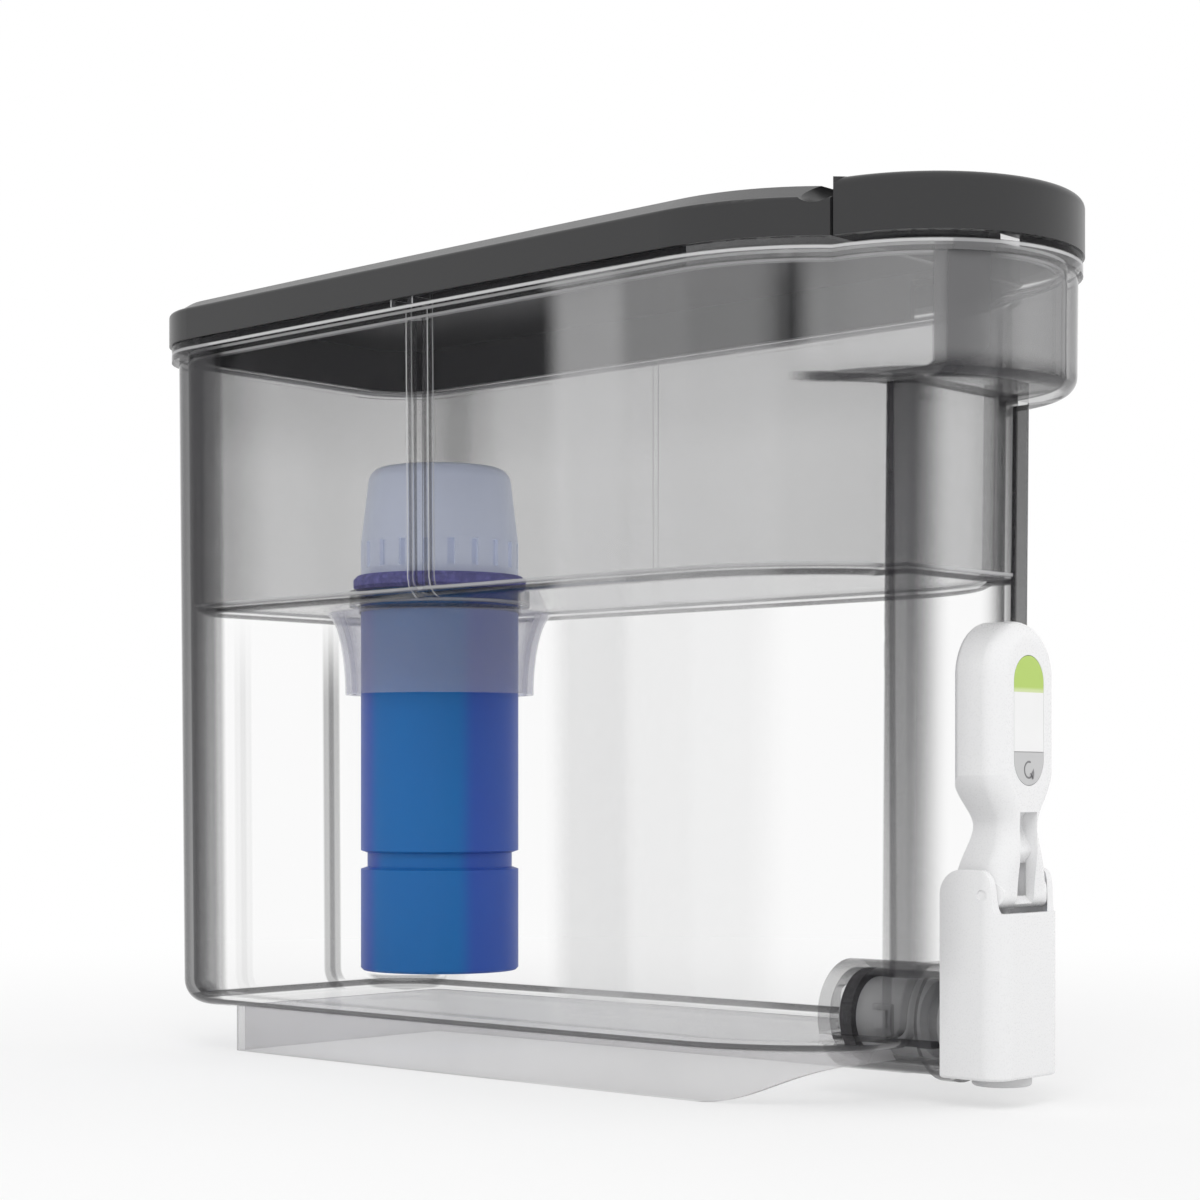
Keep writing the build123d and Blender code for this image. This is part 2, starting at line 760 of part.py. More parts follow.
def tap_side():
    """Side view of the housing: round rear shoulder, flat top, S-curve down to the front notch."""
    bow = tap_shoulder_r * (1 - cos(radians(45)))
    shoulder_low = (0, tap_rear_y, tap_top_z - tap_shoulder_r)
    shoulder_middle = (0, tap_rear_y - bow, tap_top_z - bow)
    shoulder_high = (0, tap_rear_y - tap_shoulder_r, tap_top_z)
    curve_high = (0, pivot_y + pin_r, tap_top_z)
    curve_low = (0, tap_front_y + tap_notch_setback, tap_notch_z)
    notch_front = (0, tap_front_y - 1, tap_notch_z)
    lines = [
        Line((0, tap_rear_y, tap_bottom_z), shoulder_low),
        ThreePointArc(shoulder_low, shoulder_middle, shoulder_high),
        Line(shoulder_high, curve_high),
        Spline(curve_high, curve_low, tangents=[(0, -1, 0), (0, -0.35, -1)]),
        Polyline(curve_low, notch_front, (0, tap_front_y - 1, tap_bottom_z), (0, tap_rear_y, tap_bottom_z)),
    ]
    return side_profile(lines, beyond)


def tap_body():
    """Housing, open at the rear and at the top between its two cheeks."""
    outer = solid(tap_outline(0), tap_bottom_z, tap_top_z) & tap_side()
    inner_half = tap_half_width - tap_wall
    body = round_bottom(outer, tap_edge_r) - solid(tap_outline(-tap_wall), tap_floor_z, tap_top_z + 1)
    body -= block((-inner_half, stem_y, tap_floor_z), (inner_half, tap_rear_y + 1, tap_top_z + 1))
    body -= tube_z(nozzle_r + nozzle_gap, tap_bottom_z - 1, tap_floor_z + 1, 0, stem_y)
    body -= tube_x(pin_r, -beyond, beyond, pivot_y, pivot_z)
    for side in (1, -1):
        x, z = screw_place(side)
        body += tube_y(screw_boss_r, cover_front_y - screw_reach, cover_front_y, z, x)
        body -= tube_y(screw_r, tap_rear_y - screw_reach, tap_rear_y, z, x)
    return body


def screw_place(side):
    """X and Z of one of the two screws that hold the back cover."""
    return side * (tap_half_width - screw_inset), cover_top_z - screw_drop


def tap_back_cover():
    """Plate that closes the rear of the housing, with a slot that straddles the valve's neck."""
    half = tap_half_width - tap_wall - cover_gap
    low = chamber_bottom_z + cover_gap
    plate = block((-half, cover_front_y, low), (half, tap_rear_y, cover_top_z))
    plate = fillet(plate.edges().filter_by(Axis.Y).group_by(Axis.Z)[-1], radius=cover_corner_r)
    slot_half = neck_tube_r + cover_gap
    plate -= tube_y(slot_half, cover_front_y - 1, tap_rear_y + 1, tap_axis_z)
    plate -= block((-slot_half, cover_front_y - 1, low - 1), (slot_half, tap_rear_y + 1, tap_axis_z))
    for side in (1, -1):
        x, z = screw_place(side)
        plate -= tube_y(screw_r + cover_gap, cover_front_y - 1, tap_rear_y + 1, z, x)
    return plate


def cover_screws():
    """Two pan-head screws through the back cover."""
    screws = []
    for side in (1, -1):
        x, z = screw_place(side)
        head = tube_y(screw_head_r, tap_rear_y, tap_rear_y + screw_head_height, z, x)
        screws.append(head + tube_y(screw_r, tap_rear_y - screw_reach, tap_rear_y, z, x))
    return Compound(children=screws)


def tap_nozzle():
    """Outlet ring below the housing; its two ears rest on the housing's floor."""
    nozzle = tube_z(nozzle_r, nozzle_bottom_z, tap_floor_z, 0, stem_y)
    nozzle = round_bottom(nozzle, nozzle_edge_r)
    ears = tube_z(nozzle_ear_r, tap_floor_z, chamber_bottom_z, 0, stem_y)
    nozzle += ears & block(
        (-nozzle_ear_r, stem_y - nozzle_ear_half, tap_bottom_z),
        (nozzle_ear_r, stem_y + nozzle_ear_half, chamber_bottom_z),
    )
    return nozzle - tube_z(nozzle_bore_r, nozzle_bottom_z - 1, chamber_bottom_z + 1, 0, stem_y)


# ---------------------------------------------------------------- valve
def valve_body():
    """Barrel through the tank wall, neck, and upright chamber with the seat."""
    body = tube_y(barrel_r, barrel_rear_y, barrel_front_y, tap_axis_z)
    body += tube_y(neck_tube_r, barrel_front_y, stem_y, tap_axis_z)
    body += tube_y(neck_collar_r, cover_front_y - neck_collar, cover_front_y, tap_axis_z)
    body += tube_z(chamber_r, chamber_bottom_z, chamber_top_z, 0, stem_y)
    body -= tube_z(chamber_bore_r, chamber_bottom_z + chamber_floor, chamber_top_z + 1, 0, stem_y)
    body += tube_z(seat_lip_r, chamber_bottom_z, seat_z, 0, stem_y)
    body -= tube_z(seat_bore_r, chamber_bottom_z - 1, seat_z + 1, 0, stem_y)
    body -= tube_y(port_r, barrel_rear_y + 1, stem_y + seat_lip_r, tap_axis_z)
    groove = tube_y(barrel_r + 1, *gasket_seat(), tap_axis_z)
    body -= groove - tube_y(barrel_r - gasket_seat_depth, *gasket_seat(), tap_axis_z)
    lug = block(
        (barrel_r - lug_height, lug_y - lug_length / 2, tap_axis_z - lug_width / 2),
        (barrel_r + lug_height, lug_y + lug_length / 2, tap_axis_z + lug_width / 2),
    )
    for piece in both_sides(lug):
        body += piece
    return body


def gasket_seat():
    """Front and rear of the gasket's groove."""
    rear = barrel_rear_y - gasket_inset
    return rear - gasket_width, rear


def barrel_gasket():
    """Rubber ring between barrel and tunnel."""
    ring = tube_y(tunnel_bore_r, *gasket_seat(), tap_axis_z)
    return ring - tube_y(barrel_r - gasket_seat_depth, *gasket_seat(), tap_axis_z)


def valve_bonnet():
    """Screw-in cap that guides the stem."""
    bonnet = tube_z(chamber_bore_r, bonnet_low_z, chamber_top_z, 0, stem_y)
    bonnet += tube_z(chamber_r, chamber_top_z, chamber_top_z + bonnet_flange, 0, stem_y)
    bonnet -= tube_z(ring_r, bonnet_low_z - 1, bonnet_low_z + ring_height, 0, stem_y)
    return bonnet - stem_bore()


def stem_bore():
    """Running fit for the stem."""
    return tube_z(stem_r + stem_gap, chamber_bottom_z, chamber_top_z + 2 * bonnet_flange, 0, stem_y)


def stem_ring():
    """O-ring that seals the stem."""
    ring = tube_z(ring_r, bonnet_low_z, bonnet_low_z + ring_height, 0, stem_y)
    return ring - stem_bore()


def spool_levels():
    """Heights of the two faces between which the lever's stubs sit."""
    return stub_z - stub_r - spool_play, stub_z + stub_r + spool_play


def valve_stem():
    """Stem with the seal's carrier below and the spool that the lever lifts above."""
    low, high = spool_levels()
    carrier_z = seat_z + seal_disc_height
    stem = tube_z(stem_r, seat_z, low, 0, stem_y)
    stem += tube_z(seal_disc_r - carrier_inset, carrier_z, carrier_z + carrier_height, 0, stem_y)
    stem += tube_z(spool_r, low - spool_disc, low, 0, stem_y)
    stem += tube_z(spool_waist_r, low, high, 0, stem_y)
    return stem + tube_z(spool_r, high, high + spool_disc, 0, stem_y)


def valve_seal():
    """Rubber disc that closes the seat."""
    disc = tube_z(seal_disc_r, seat_z, seat_z + seal_disc_height, 0, stem_y)
    return disc - tube_z(stem_r, seat_z - 1, seat_z + seal_disc_height + 1, 0, stem_y)


def return_spring():
    """Coil between the seal's carrier and the bonnet, of flattened wire."""
    low = seat_z + seal_disc_height + carrier_height + spring_wire_r
    high = bonnet_low_z - spring_wire_r
    path = Helix(pitch=(high - low) / spring_turns, height=high - low, radius=spring_mean_r)
    section = Plane(origin=path @ 0, z_dir=path % 0) * RegularPolygon(spring_wire_r, 6)
    return Pos(0, stem_y, low) * sweep(section, path=path)


# ---------------------------------------------------------------- lever
def lever_front_view():
    """Front view of the lever: wide base, slim neck and round-topped paddle."""
    paddle = lever_paddle_half
    round_z = lever_top_z - paddle
    lines = [Line((-lever_base_half, 0, lever_low_z), (lever_base_half, 0, lever_low_z))]
    lines.append(ThreePointArc((paddle, 0, round_z), (0, 0, lever_top_z), (-paddle, 0, round_z)))
    for side in (1, -1):
        base = side * lever_base_half
        edge = side * paddle
        lines.append(Line((base, 0, lever_low_z), (base, 0, lever_base_top_z)))
        lines.append(
            Spline(
                (base, 0, lever_base_top_z),
                (side * lever_neck_half, 0, lever_neck_z),
                (edge, 0, lever_paddle_low_z),
                tangents=[(side * -0.25, 0, 1), (side * 0.25, 0, 1)],
            )
        )
        lines.append(Line((edge, 0, lever_paddle_low_z), (edge, 0, round_z)))
    return make_face(lines)


def lever_side():
    """Side view of the lever: hub around the pivot, thin neck, then a straight blade."""
    bow = lever_hub_r * cos(radians(45))
    top_z = lever_top_z + 1
    heel = (0, lever_base_rear_y, pivot_z - lever_heel)
    hub_low = (0, pivot_y, lever_low_z)
    hub_front = (0, pivot_y - lever_hub_r, pivot_z)
    front_low = (0, lever_front_y, pivot_z + lever_front_rise)
    rear_low = (0, lever_rear_y, lever_paddle_low_z)
    rear_thin = (0, lever_thin_y, lever_neck_z)
    base_high = (0, lever_base_rear_y, lever_base_top_z)
    lines = [
        Polyline(heel, (0, pivot_y + pin_r, lever_low_z), hub_low),
        ThreePointArc(hub_low, (0, pivot_y - bow, pivot_z - bow), hub_front),
        Spline(hub_front, front_low, tangents=[(0, 0, 1), (0, 0, 1)]),
        Polyline(front_low, (0, lever_front_y, top_z), (0, lever_rear_y, top_z), rear_low),
        Spline(rear_low, rear_thin, base_high, tangents=[(0, 0, -1), (0, 0, -1)]),
        Line(base_high, heel),
    ]
    return side_profile(lines, beyond)


def lever_blank():
    """Whole lever before it is split into its two shells."""
    face = lever_front_view().moved(Location((0, lever_front_y - 1, 0)))
    blank = extrude(face, amount=beyond, dir=(0, 1, 0)) & lever_side()
    for y, radius in ((lever_front_y, lever_edge_r), (lever_rear_y, lever_rear_edge_r)):
        rim_edges = blank.edges().filter_by_position(Axis.Y, y - near, y + near)
        blank = fillet([e for e in rim_edges if e.center().Z > slot_low_z], radius=radius)
    foot = solid(lever_base_plan(), lever_low_z - 1, lever_neck_z)
    foot += block((-beyond, -beyond, lever_neck_z), (beyond, beyond, beyond))
    pocket = block(
        (-pocket_half, stem_y - pocket_ahead, lever_low_z - 1),
        (pocket_half, beyond, pivot_z + pocket_rise),
    )
    blank = (blank & foot) - lever_slot() - pocket
    stub = tube_x(stub_r, spool_waist_r + stub_clear, pocket_half + stub_r, stub_y, stub_z)
    for piece in both_sides(stub):
        blank += piece
    bores = tube_x(pin_r + pin_gap, -beyond, beyond, pivot_y, pivot_z)
    return blank - (bores - tube_x(2 * pin_r, -bore_end(), bore_end(), pivot_y, pivot_z))


def bore_end():
    """Distance from the middle plane to the inner end of each pin's bore."""
    return pocket_half + pin_wall


def lever_base_plan():
    """Plan of the lever's foot, rounded at the front to swing between the housing's cheeks."""
    half = lever_base_half
    front = lever_front_y
    rear = lever_base_rear_y
    face = make_face(Polyline((-half, rear), (half, rear), (half, front), (-half, front), close=True))
    return fillet(corners_at(face, front), radius=lever_base_corner_r)


def lever_slot():
    """Hollow down the front of the neck, deepest at the middle and running out at the hub."""
    deep = lever_front_y + slot_depth
    ahead = lever_front_y - 1
    top = (0, deep - slot_round, slot_high_z)
    upper = (0, deep, slot_high_z - 2 * slot_round)
    lower = (0, lever_front_y + slot_low_depth, slot_low_z)
    end = (0, pivot_y - lever_hub_r - near, lever_low_z)
    lines = [
        Line((0, ahead, slot_high_z), top),
        Spline(top, upper, lower, end, tangents=[(0, 1, 0), (0, -1, -1)]),
        Polyline(end, (0, ahead, lever_low_z), (0, ahead, slot_high_z)),
    ]
    return side_profile(lines, slot_half)


def paddle_room():
    """Cavity inside the paddle."""
    low_z = window_low_z - room_below
    high_z = window_top_z + room_above
    room = block((-room_half, window_back_y, low_z), (room_half, room_back_y, high_z))
    return fillet(room.edges().filter_by(Axis.Y), radius=room_corner_r)


def window_face(low_z, high_z, half, round_top, round_bottom):
    """Upright slot outline, rounded at either end, in the XZ plane."""
    low = low_z + (half if round_bottom else 0)
    high = high_z - (half if round_top else 0)
    lines = [Line((-half, 0, low), (-half, 0, high)), Line((half, 0, low), (half, 0, high))]
    if round_top:
        lines.append(ThreePointArc((-half, 0, high), (0, 0, high + half), (half, 0, high)))
    else:
        lines.append(Line((-half, 0, high), (half, 0, high)))
    if round_bottom:
        lines.append(ThreePointArc((-half, 0, low), (0, 0, low - half), (half, 0, low)))
    else:
        lines.append(Line((-half, 0, low), (half, 0, low)))
    return make_face(lines)


def window_piece(low_z, high_z, round_top, round_bottom, flange_low_z, flange_high_z):
    """Piece that fills part of the indicator window, with a flange that rests behind the cover."""
    front = window_face(low_z, high_z, window_half - fit_gap, round_top, round_bottom)
    piece = extrude(front.moved(Location((0, lever_front_y, 0))), amount=lever_shell, dir=(0, 1, 0))
    back = window_face(flange_low_z, flange_high_z, window_half + window_lip, round_top, round_bottom)
    return piece + extrude(back.moved(Location((0, window_back_y, 0))), amount=window_flange, dir=(0, 1, 0))


def lever_cover():
    """Front shell of the paddle with the indicator window."""
    cover = (lever_blank() & cover_space()) - paddle_room()
    face = window_face(window_low_z, window_top_z, window_half, True, True)
    face = face.moved(Location((0, lever_front_y - 1, 0)))
    return cover - extrude(face, amount=lever_shell + 2, dir=(0, 1, 0))


def cover_space():
    """The front half of the paddle, which the front shell fills."""
    low_z = lever_paddle_low_z - cover_below
    return block((-beyond, -beyond, low_z), (beyond, lever_split_y, beyond))


def lever_arm():
    """Rest of the lever: rear shell of the paddle, neck, hub and stubs."""
    arm = lever_blank() - cover_space() - paddle_room()
    for x, z in post_places():
        arm += tube_y(post_r, room_back_y, board_back_y, z, x)
        arm += tube_y(post_pin_r, board_back_y, board_front_y, z, x)
    return arm


def indicator_strip():
    """White strip between lamp and button."""
    low = button_top_z + fit_gap
    return window_piece(low, lamp_low_z, False, False, low + window_lip, lamp_low_z)


def lamp_lens():
    """Green lamp cover with a round top."""
    high = window_top_z - fit_gap
    return window_piece(lamp_low_z, high, True, False, lamp_low_z, window_top_z + window_lip)


def reset_button():
    """Half-round key below the strip, with a stem that reaches towards the board."""
    low = window_low_z - window_lip
    high = button_top_z + window_lip
    key = window_piece(window_low_z + fit_gap, button_top_z, False, True, low, high - fit_gap)
    tip = board_front_y - button_travel - button_clear
    return key + tube_y(button_stem_r, window_back_y, tip, (window_low_z + button_top_z) / 2)


def post_places():
    """X and Z of the four posts that carry the circuit board."""
    x = board_half - post_inset
    return [(side * x, z) for side in (1, -1) for z in (board_low_z + post_inset, board_high_z - post_inset)]


def circuit_board():
    low = (-board_half, board_front_y, board_low_z)
    high = (board_half, board_back_y, board_high_z)
    board = fillet(block(low, high).edges().filter_by(Axis.Y), radius=board_corner_r)
    for x, z in post_places():
        board -= tube_y(post_pin_r, low[1], high[1], z, x)
    return board


def coin_cell():
    return tube_y(cell_r, board_back_y, room_back_y, (board_low_z + board_high_z) / 2)


def lever_pins():
    """Two short pivot pins, one through each cheek of the housing."""
    pin = tube_x(pin_r, bore_end() + pin_gap, tap_half_width - pin_inset, pivot_y, pivot_z)
    return Compound(children=both_sides(pin))


# ---------------------------------------------------------------- output
nodes = {
    "tank": tank(),
    "base_skirt": base_skirt(),
    "tap_body": tap_body(),
    "tap_back_cover": tap_back_cover(),
    "cover_screws": cover_screws(),
    "tap_nozzle": tap_nozzle(),
    "valve_body": valve_body(),
    "barrel_gasket": barrel_gasket(),
    "valve_bonnet": valve_bonnet(),
    "stem_ring": stem_ring(),
    "return_spring": return_spring(),
    "lever_pins": lever_pins(),
    "valve_stem": valve_stem(),
    "valve_seal": valve_seal(),
    "lever_arm": lever_arm(),
    "lever_cover": lever_cover(),
    "indicator_strip": indicator_strip(),
    "lamp_lens": lamp_lens(),
    "circuit_board": circuit_board(),
    "coin_cell": coin_cell(),
    "reset_button": reset_button(),
    "reservoir": reservoir(),
    "filter_body": filter_body(),
    "filter_seal": filter_seal(),
    "filter_cap": filter_cap(),
    "filter_media": filter_media(),
    "filter_outlet_screen": filter_screen(filter_floor_z),
    "filter_inlet_screen": filter_screen(media_top_z - screen_thickness),
    "lid": lid(),
    "hinge_pin": hinge_pin(),
    "fill_door": fill_door(),
}
for name, shape in nodes.items():
    export_step(shape, f"parts/{name}.step")
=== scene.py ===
"""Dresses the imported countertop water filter: finishes for its nodes, moulded details, floor and camera."""

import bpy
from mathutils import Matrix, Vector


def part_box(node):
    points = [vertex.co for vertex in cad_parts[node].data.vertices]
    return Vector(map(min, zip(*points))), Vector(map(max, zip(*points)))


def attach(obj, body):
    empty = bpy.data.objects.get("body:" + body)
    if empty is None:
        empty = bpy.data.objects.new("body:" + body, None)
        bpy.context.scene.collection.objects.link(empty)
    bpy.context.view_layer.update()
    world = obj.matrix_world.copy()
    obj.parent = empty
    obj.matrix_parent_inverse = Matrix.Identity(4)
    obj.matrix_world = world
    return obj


bl_info = {
    "name": "Countertop Water Filter",
    "version": (1, 0, 0),
    "blender": (4, 5, 0),
    "location": "3D View > Sidebar > Water Filter",
    "description": "Clear plastic, tap, cartridge and lid finishes for a countertop water filter",
    "category": "Object",
}

import bmesh
import bpy
import numpy as np

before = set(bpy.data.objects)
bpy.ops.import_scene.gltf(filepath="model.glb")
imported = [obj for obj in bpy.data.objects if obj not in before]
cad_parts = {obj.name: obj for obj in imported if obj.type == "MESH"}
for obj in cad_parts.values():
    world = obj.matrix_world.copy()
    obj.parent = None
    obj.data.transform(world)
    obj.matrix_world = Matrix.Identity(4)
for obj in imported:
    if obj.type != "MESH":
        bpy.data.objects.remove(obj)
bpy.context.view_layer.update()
MM = 0.001


# ---------------------------------------------------------------- places taken from the frame
def edges_of(node):
    """Lowest and highest corner of a node, in millimetres, as two numpy rows."""
    low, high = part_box(node)
    return np.array(low) / MM, np.array(high) / MM


CUP_LOW, CUP_HIGH = edges_of("filter_body")
CARTRIDGE_Y = (CUP_LOW[1] + CUP_HIGH[1]) / 2  # the cartridge's axis
BUTTON_FRONT_Y = edges_of("reset_button")[0][1]
TANK_TOP_Z = edges_of("tank")[1][2]
RIM_Z = edges_of("lid")[0][2]  # lower edge of the lid

# planes and lines of the solids, in millimetres
FRONT_Y = -128.0  # outside of the tank's front wall
REAR_Y = 159.0  # outside of its rear wall
SIDE_HALF = 62.0  # middle plane to the outside of a side wall
WALL_FROM = SIDE_HALF - 12.0  # a finish of the side walls starts here
WALL_FULL = SIDE_HALF - 8.0  # and is at full strength from here outwards
PANEL_HALF = 30.5  # middle plane to the flank of the front panel
FLOOR_Z = 18.0  # upper face of the tank's floor
TUNNEL_Z = 22.6  # axis of the tap's barrel
BAY_Z = 197.8  # underside of the round fill bay
RESERVOIR_LOW = 145.7  # underside of the reservoir's floor
FLUTE_Y = 29.7  # middle of the flute in the reservoir's side
SEAT_Z = 153.0  # underside of the cartridge's seal
MARK_Z = 92.6  # middle of the mark on the reset button

# the picture that the camera is matched to
PICTURE = 1200.0  # width and height, in pixels
FOCAL = 2563.88  # focal length, in those pixels
HORIZON = 786.56  # from the top down to the horizon, in those pixels
EYE = (-0.5974, -0.5391, 0.088)  # in metres
HEADING = 47.6  # degrees from +Y towards +X

# each lamp's name, place and aim in metres, size in metres and power in watts
LAMPS = (
    ("key", (-1.3, -1.0, 1.7), (0.0, 0.0, 0.12), 1.1, 16.0),
    ("fill", (1.4, -1.5, 0.8), (0.0, 0.0, 0.12), 1.2, 6.0),
    ("rim", (0.6, 1.7, 1.2), (0.0, 0.0, 0.15), 1.0, 7.0),
)
FLOW_STRETCH = (1.0, 1.0, 0.3)  # stretches a cloud upwards, as the plastic flowed
WHITE = (1.0, 1.0, 1.0, 1.0)


# ---------------------------------------------------------------- shader maths
class Value:
    """One socket of a node tree. Python's operators on it add Math nodes."""

    def __init__(self, finish, socket):
        self.finish = finish
        self.socket = socket

    def maths(self, operation, *others):
        """This value and the others through one Math node."""
        inputs = dict(enumerate((self, *others)))
        return self.finish.node("ShaderNodeMath", {"operation": operation}, inputs)

    def __add__(self, other):
        return self.maths("ADD", other)

    def __sub__(self, other):
        return self.maths("SUBTRACT", other)

    def __mul__(self, other):
        return self.maths("MULTIPLY", other)

    def __truediv__(self, other):
        return self.maths("DIVIDE", other)

    def __pow__(self, other):
        return self.maths("POWER", other)

    def __neg__(self):
        return self.maths("MULTIPLY", -1.0)

    def __abs__(self):
        return self.maths("ABSOLUTE")

    def __rsub__(self, other):
        return (-self) + other

    def __rtruediv__(self, other):
        return self.finish.node("ShaderNodeMath", {"operation": "DIVIDE"}, {0: other, 1: self})

    __radd__ = __add__
    __rmul__ = __mul__

    def least(self, other):
        """The smaller of the two."""
        return self.maths("MINIMUM", other)

    def most(self, other):
        """The larger of the two."""
        return self.maths("MAXIMUM", other)

    def step(self, low, high):
        """0 below low, 1 above high and a smooth S-curve between them; low may be the larger."""
        inputs = {"Value": self, "From Min": low, "From Max": high}
        return self.finish.node("ShaderNodeMapRange", {"interpolation_type": "SMOOTHSTEP"}, inputs)


class Finish:
    """A material or world under construction: every node of its tree comes from node()."""

    def __init__(self, owner):
        self.owner = owner
        owner.use_nodes = True
        self.tree = owner.node_tree
        self.tree.nodes.clear()

    def node(self, kind, settings=None, inputs=None, output=0):
        """A node of that kind. Its settings are set first, then its sockets get values or links."""
        item = self.tree.nodes.new(kind)
        for key, value in (settings or {}).items():
            if key == "stops":
                self.fill_ramp(item.color_ramp, value)
            else:
                setattr(item, key, value)
        for key, value in (inputs or {}).items():
            if isinstance(value, Value):
                self.tree.links.new(value.socket, item.inputs[key])
            else:
                item.inputs[key].default_value = value
        return Value(self, item.outputs[output]) if item.outputs else item

    @staticmethod
    def fill_ramp(ramp, stops):
        """Sets a ramp's stops from (place, colour) pairs."""
        while len(ramp.elements) < len(stops):
            ramp.elements.new(0.5)
        for element, (place, colour) in zip(ramp.elements, stops):
            element.position = place
            element.color = (*colour, 1.0)

    def place(self):
        """Object coordinates in millimetres, as a vector."""
        where = self.node("ShaderNodeTexCoord", output="Object")
        return self.node("ShaderNodeVectorMath", {"operation": "SCALE"}, {0: where, "Scale": 1 / MM})

    def parts(self, vector):
        """x, y and z of a vector."""
        split = self.node("ShaderNodeSeparateXYZ", inputs={0: vector})
        return [Value(self, split.socket.node.outputs[i]) for i in range(3)]

    def stretched(self, vector, scale, centre=(0, 0, 0)):
        """The vector measured from a centre and scaled on each axis."""
        inputs = {0: vector, 1: centre}
        moved = self.node("ShaderNodeVectorMath", {"operation": "SUBTRACT"}, inputs)
        return self.node("ShaderNodeVectorMath", {"operation": "MULTIPLY"}, {0: moved, 1: scale})

    def noise(self, vector, scale, detail=3.0, roughness=0.5):
        """Noise from 0 to 1; scale is in features per millimetre."""
        inputs = {"Vector": vector, "Scale": scale, "Detail": detail, "Roughness": roughness}
        return self.node("ShaderNodeTexNoise", inputs=inputs)

    def colours(self, factor, first, second):
        """Colour between two colours, each a colour or a value."""
        inputs = {0: factor, 6: rgba(first), 7: rgba(second)}
        return self.node("ShaderNodeMix", {"data_type": "RGBA"}, inputs, output=2)

    def bump(self, height, strength, distance):
        """Normal bent by a height between 0 and 1; distance is in metres."""
        inputs = {"Height": height, "Strength": strength, "Distance": distance}
        return self.node("ShaderNodeBump", inputs=inputs)

    def facing(self):
        """0 where the surface faces the viewer and 1 where it is seen edge on."""
        return self.node("ShaderNodeLayerWeight", inputs={"Blend": 0.5}, output="Facing")

    def upright(self):
        """1 on upright walls and 0 on level floors and ledges."""
        normal = self.node("ShaderNodeTexCoord", output="Normal")
        return abs(self.parts(normal)[2]).step(0.95, 0.7)

    def plastic(self, **sockets):
        """A Principled shader; underscores in the names stand for spaces."""
        inputs = {key.replace("_", " "): rgba(value) for key, value in sockets.items()}
        return self.node("ShaderNodeBsdfPrincipled", inputs=inputs)

    def over_clear(self, cover, surface):
        """The surface laid over a perfectly clear one; cover is its share."""
        clear = self.node("ShaderNodeBsdfTransparent", inputs={"Color": WHITE})
        return self.node("ShaderNodeMixShader", inputs={0: cover, 1: clear, 2: surface})

    def done(self, surface):
        """Ends the tree in the surface and returns the material."""
        self.node("ShaderNodeOutputMaterial", inputs={"Surface": surface})
        return self.owner


def new_finish(name):
    """A finish for a new material of that name."""
    return Finish(bpy.data.materials.new(name))


def rgba(value):
    """A colour of three numbers gets its alpha; anything else stays as it is."""
    if isinstance(value, (Value, float, int)):
        return value
    value = tuple(value)
    return (*value, 1.0) if len(value) == 3 else value


def paint(material, *nodes):
    """Gives the material to every slot of these CAD nodes."""
    for name in nodes:
        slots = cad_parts[name].material_slots
        for slot in slots:
            slot.material = material
        if not slots:
            raise RuntimeError(f"{name} has no material slot")


# ---------------------------------------------------------------- mesh from arrays
def grid_object(name, points, loop_u=True, loop_v=False):
    """Object from a grid of points in millimetres, shape (u, v, 3), joined into quads.

    Corner (i, j) joins (i+1, j), (i+1, j+1) and (i, j+1); a looped direction also joins its last row to its
    first. Rows that shrink to one point are merged after the faces are made.
    """
    rows, columns = points.shape[:2]
    index = np.arange(rows * columns).reshape(rows, columns)
    if loop_u:
        index = np.vstack([index, index[:1]])
    if loop_v:
        index = np.hstack([index, index[:, :1]])
    faces = np.stack([index[:-1, :-1], index[1:, :-1], index[1:, 1:], index[:-1, 1:]], axis=-1)
    return array_object(name, points.reshape(-1, 3), faces.reshape(-1, 4))


def array_object(name, points, faces):
    """Smooth-shaded object from points in millimetres and faces; its doubles are merged."""
    mesh = bpy.data.meshes.new(name)
    mesh.from_pydata((np.asarray(points) * MM).tolist(), [], np.asarray(faces).tolist())
    mesh.update()
    tidy_mesh(mesh)
    item = bpy.data.objects.new(name, mesh)
    bpy.context.scene.collection.objects.link(item)
    return item


def tidy_mesh(mesh):
    """Merges doubles, turns the faces outwards and shades them smooth below 35 degrees."""
    work = bmesh.new()
    work.from_mesh(mesh)
    bmesh.ops.remove_doubles(work, verts=work.verts, dist=1e-6)
    bmesh.ops.recalc_face_normals(work, faces=work.faces)
    work.to_mesh(mesh)
    work.free()
    mesh.polygons.foreach_set("use_smooth", np.ones(len(mesh.polygons), bool))
    mesh.set_sharp_from_angle(angle=np.radians(35.0))


def lathe(name, profile, turns=96, centre=(0.0, 0.0)):
    """Surface of revolution: each (radius, height) of the profile is carried round the upright axis."""
    profile = np.asarray(profile, float)
    angle = np.linspace(0, 2 * np.pi, turns, endpoint=False)[:, None]
    radius, height = profile[None, :, 0], profile[None, :, 1]
    x = centre[0] + radius * np.cos(angle)
    y = centre[1] + radius * np.sin(angle)
    z = np.broadcast_to(height, x.shape)
    return grid_object(name, np.stack([x, y, z], axis=-1))


def finished(item, body, material):
    """The piece rides on its body, takes its finish from the slot and shows the material."""
    item.data.materials.append(material)
    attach(item, body)
    return item


# ---------------------------------------------------------------- clear plastic
def smoky(f, place, share, colour):
    """Ends a clear plastic: a glossy share of that colour laid over a clear surface."""
    normal = f.bump(f.noise(f.stretched(place, (1.0, 1.0, 0.25)), 0.03, 1.0), 0.1, 0.0006)
    rough = 0.03 + f.noise(place, 0.02, 2.0) * 0.05
    surface = f.plastic(
        Base_Color=colour, Roughness=rough, Normal=normal, IOR=1.49, Specular_IOR_Level=0.35
    )
    return f.done(f.over_clear(share, surface))


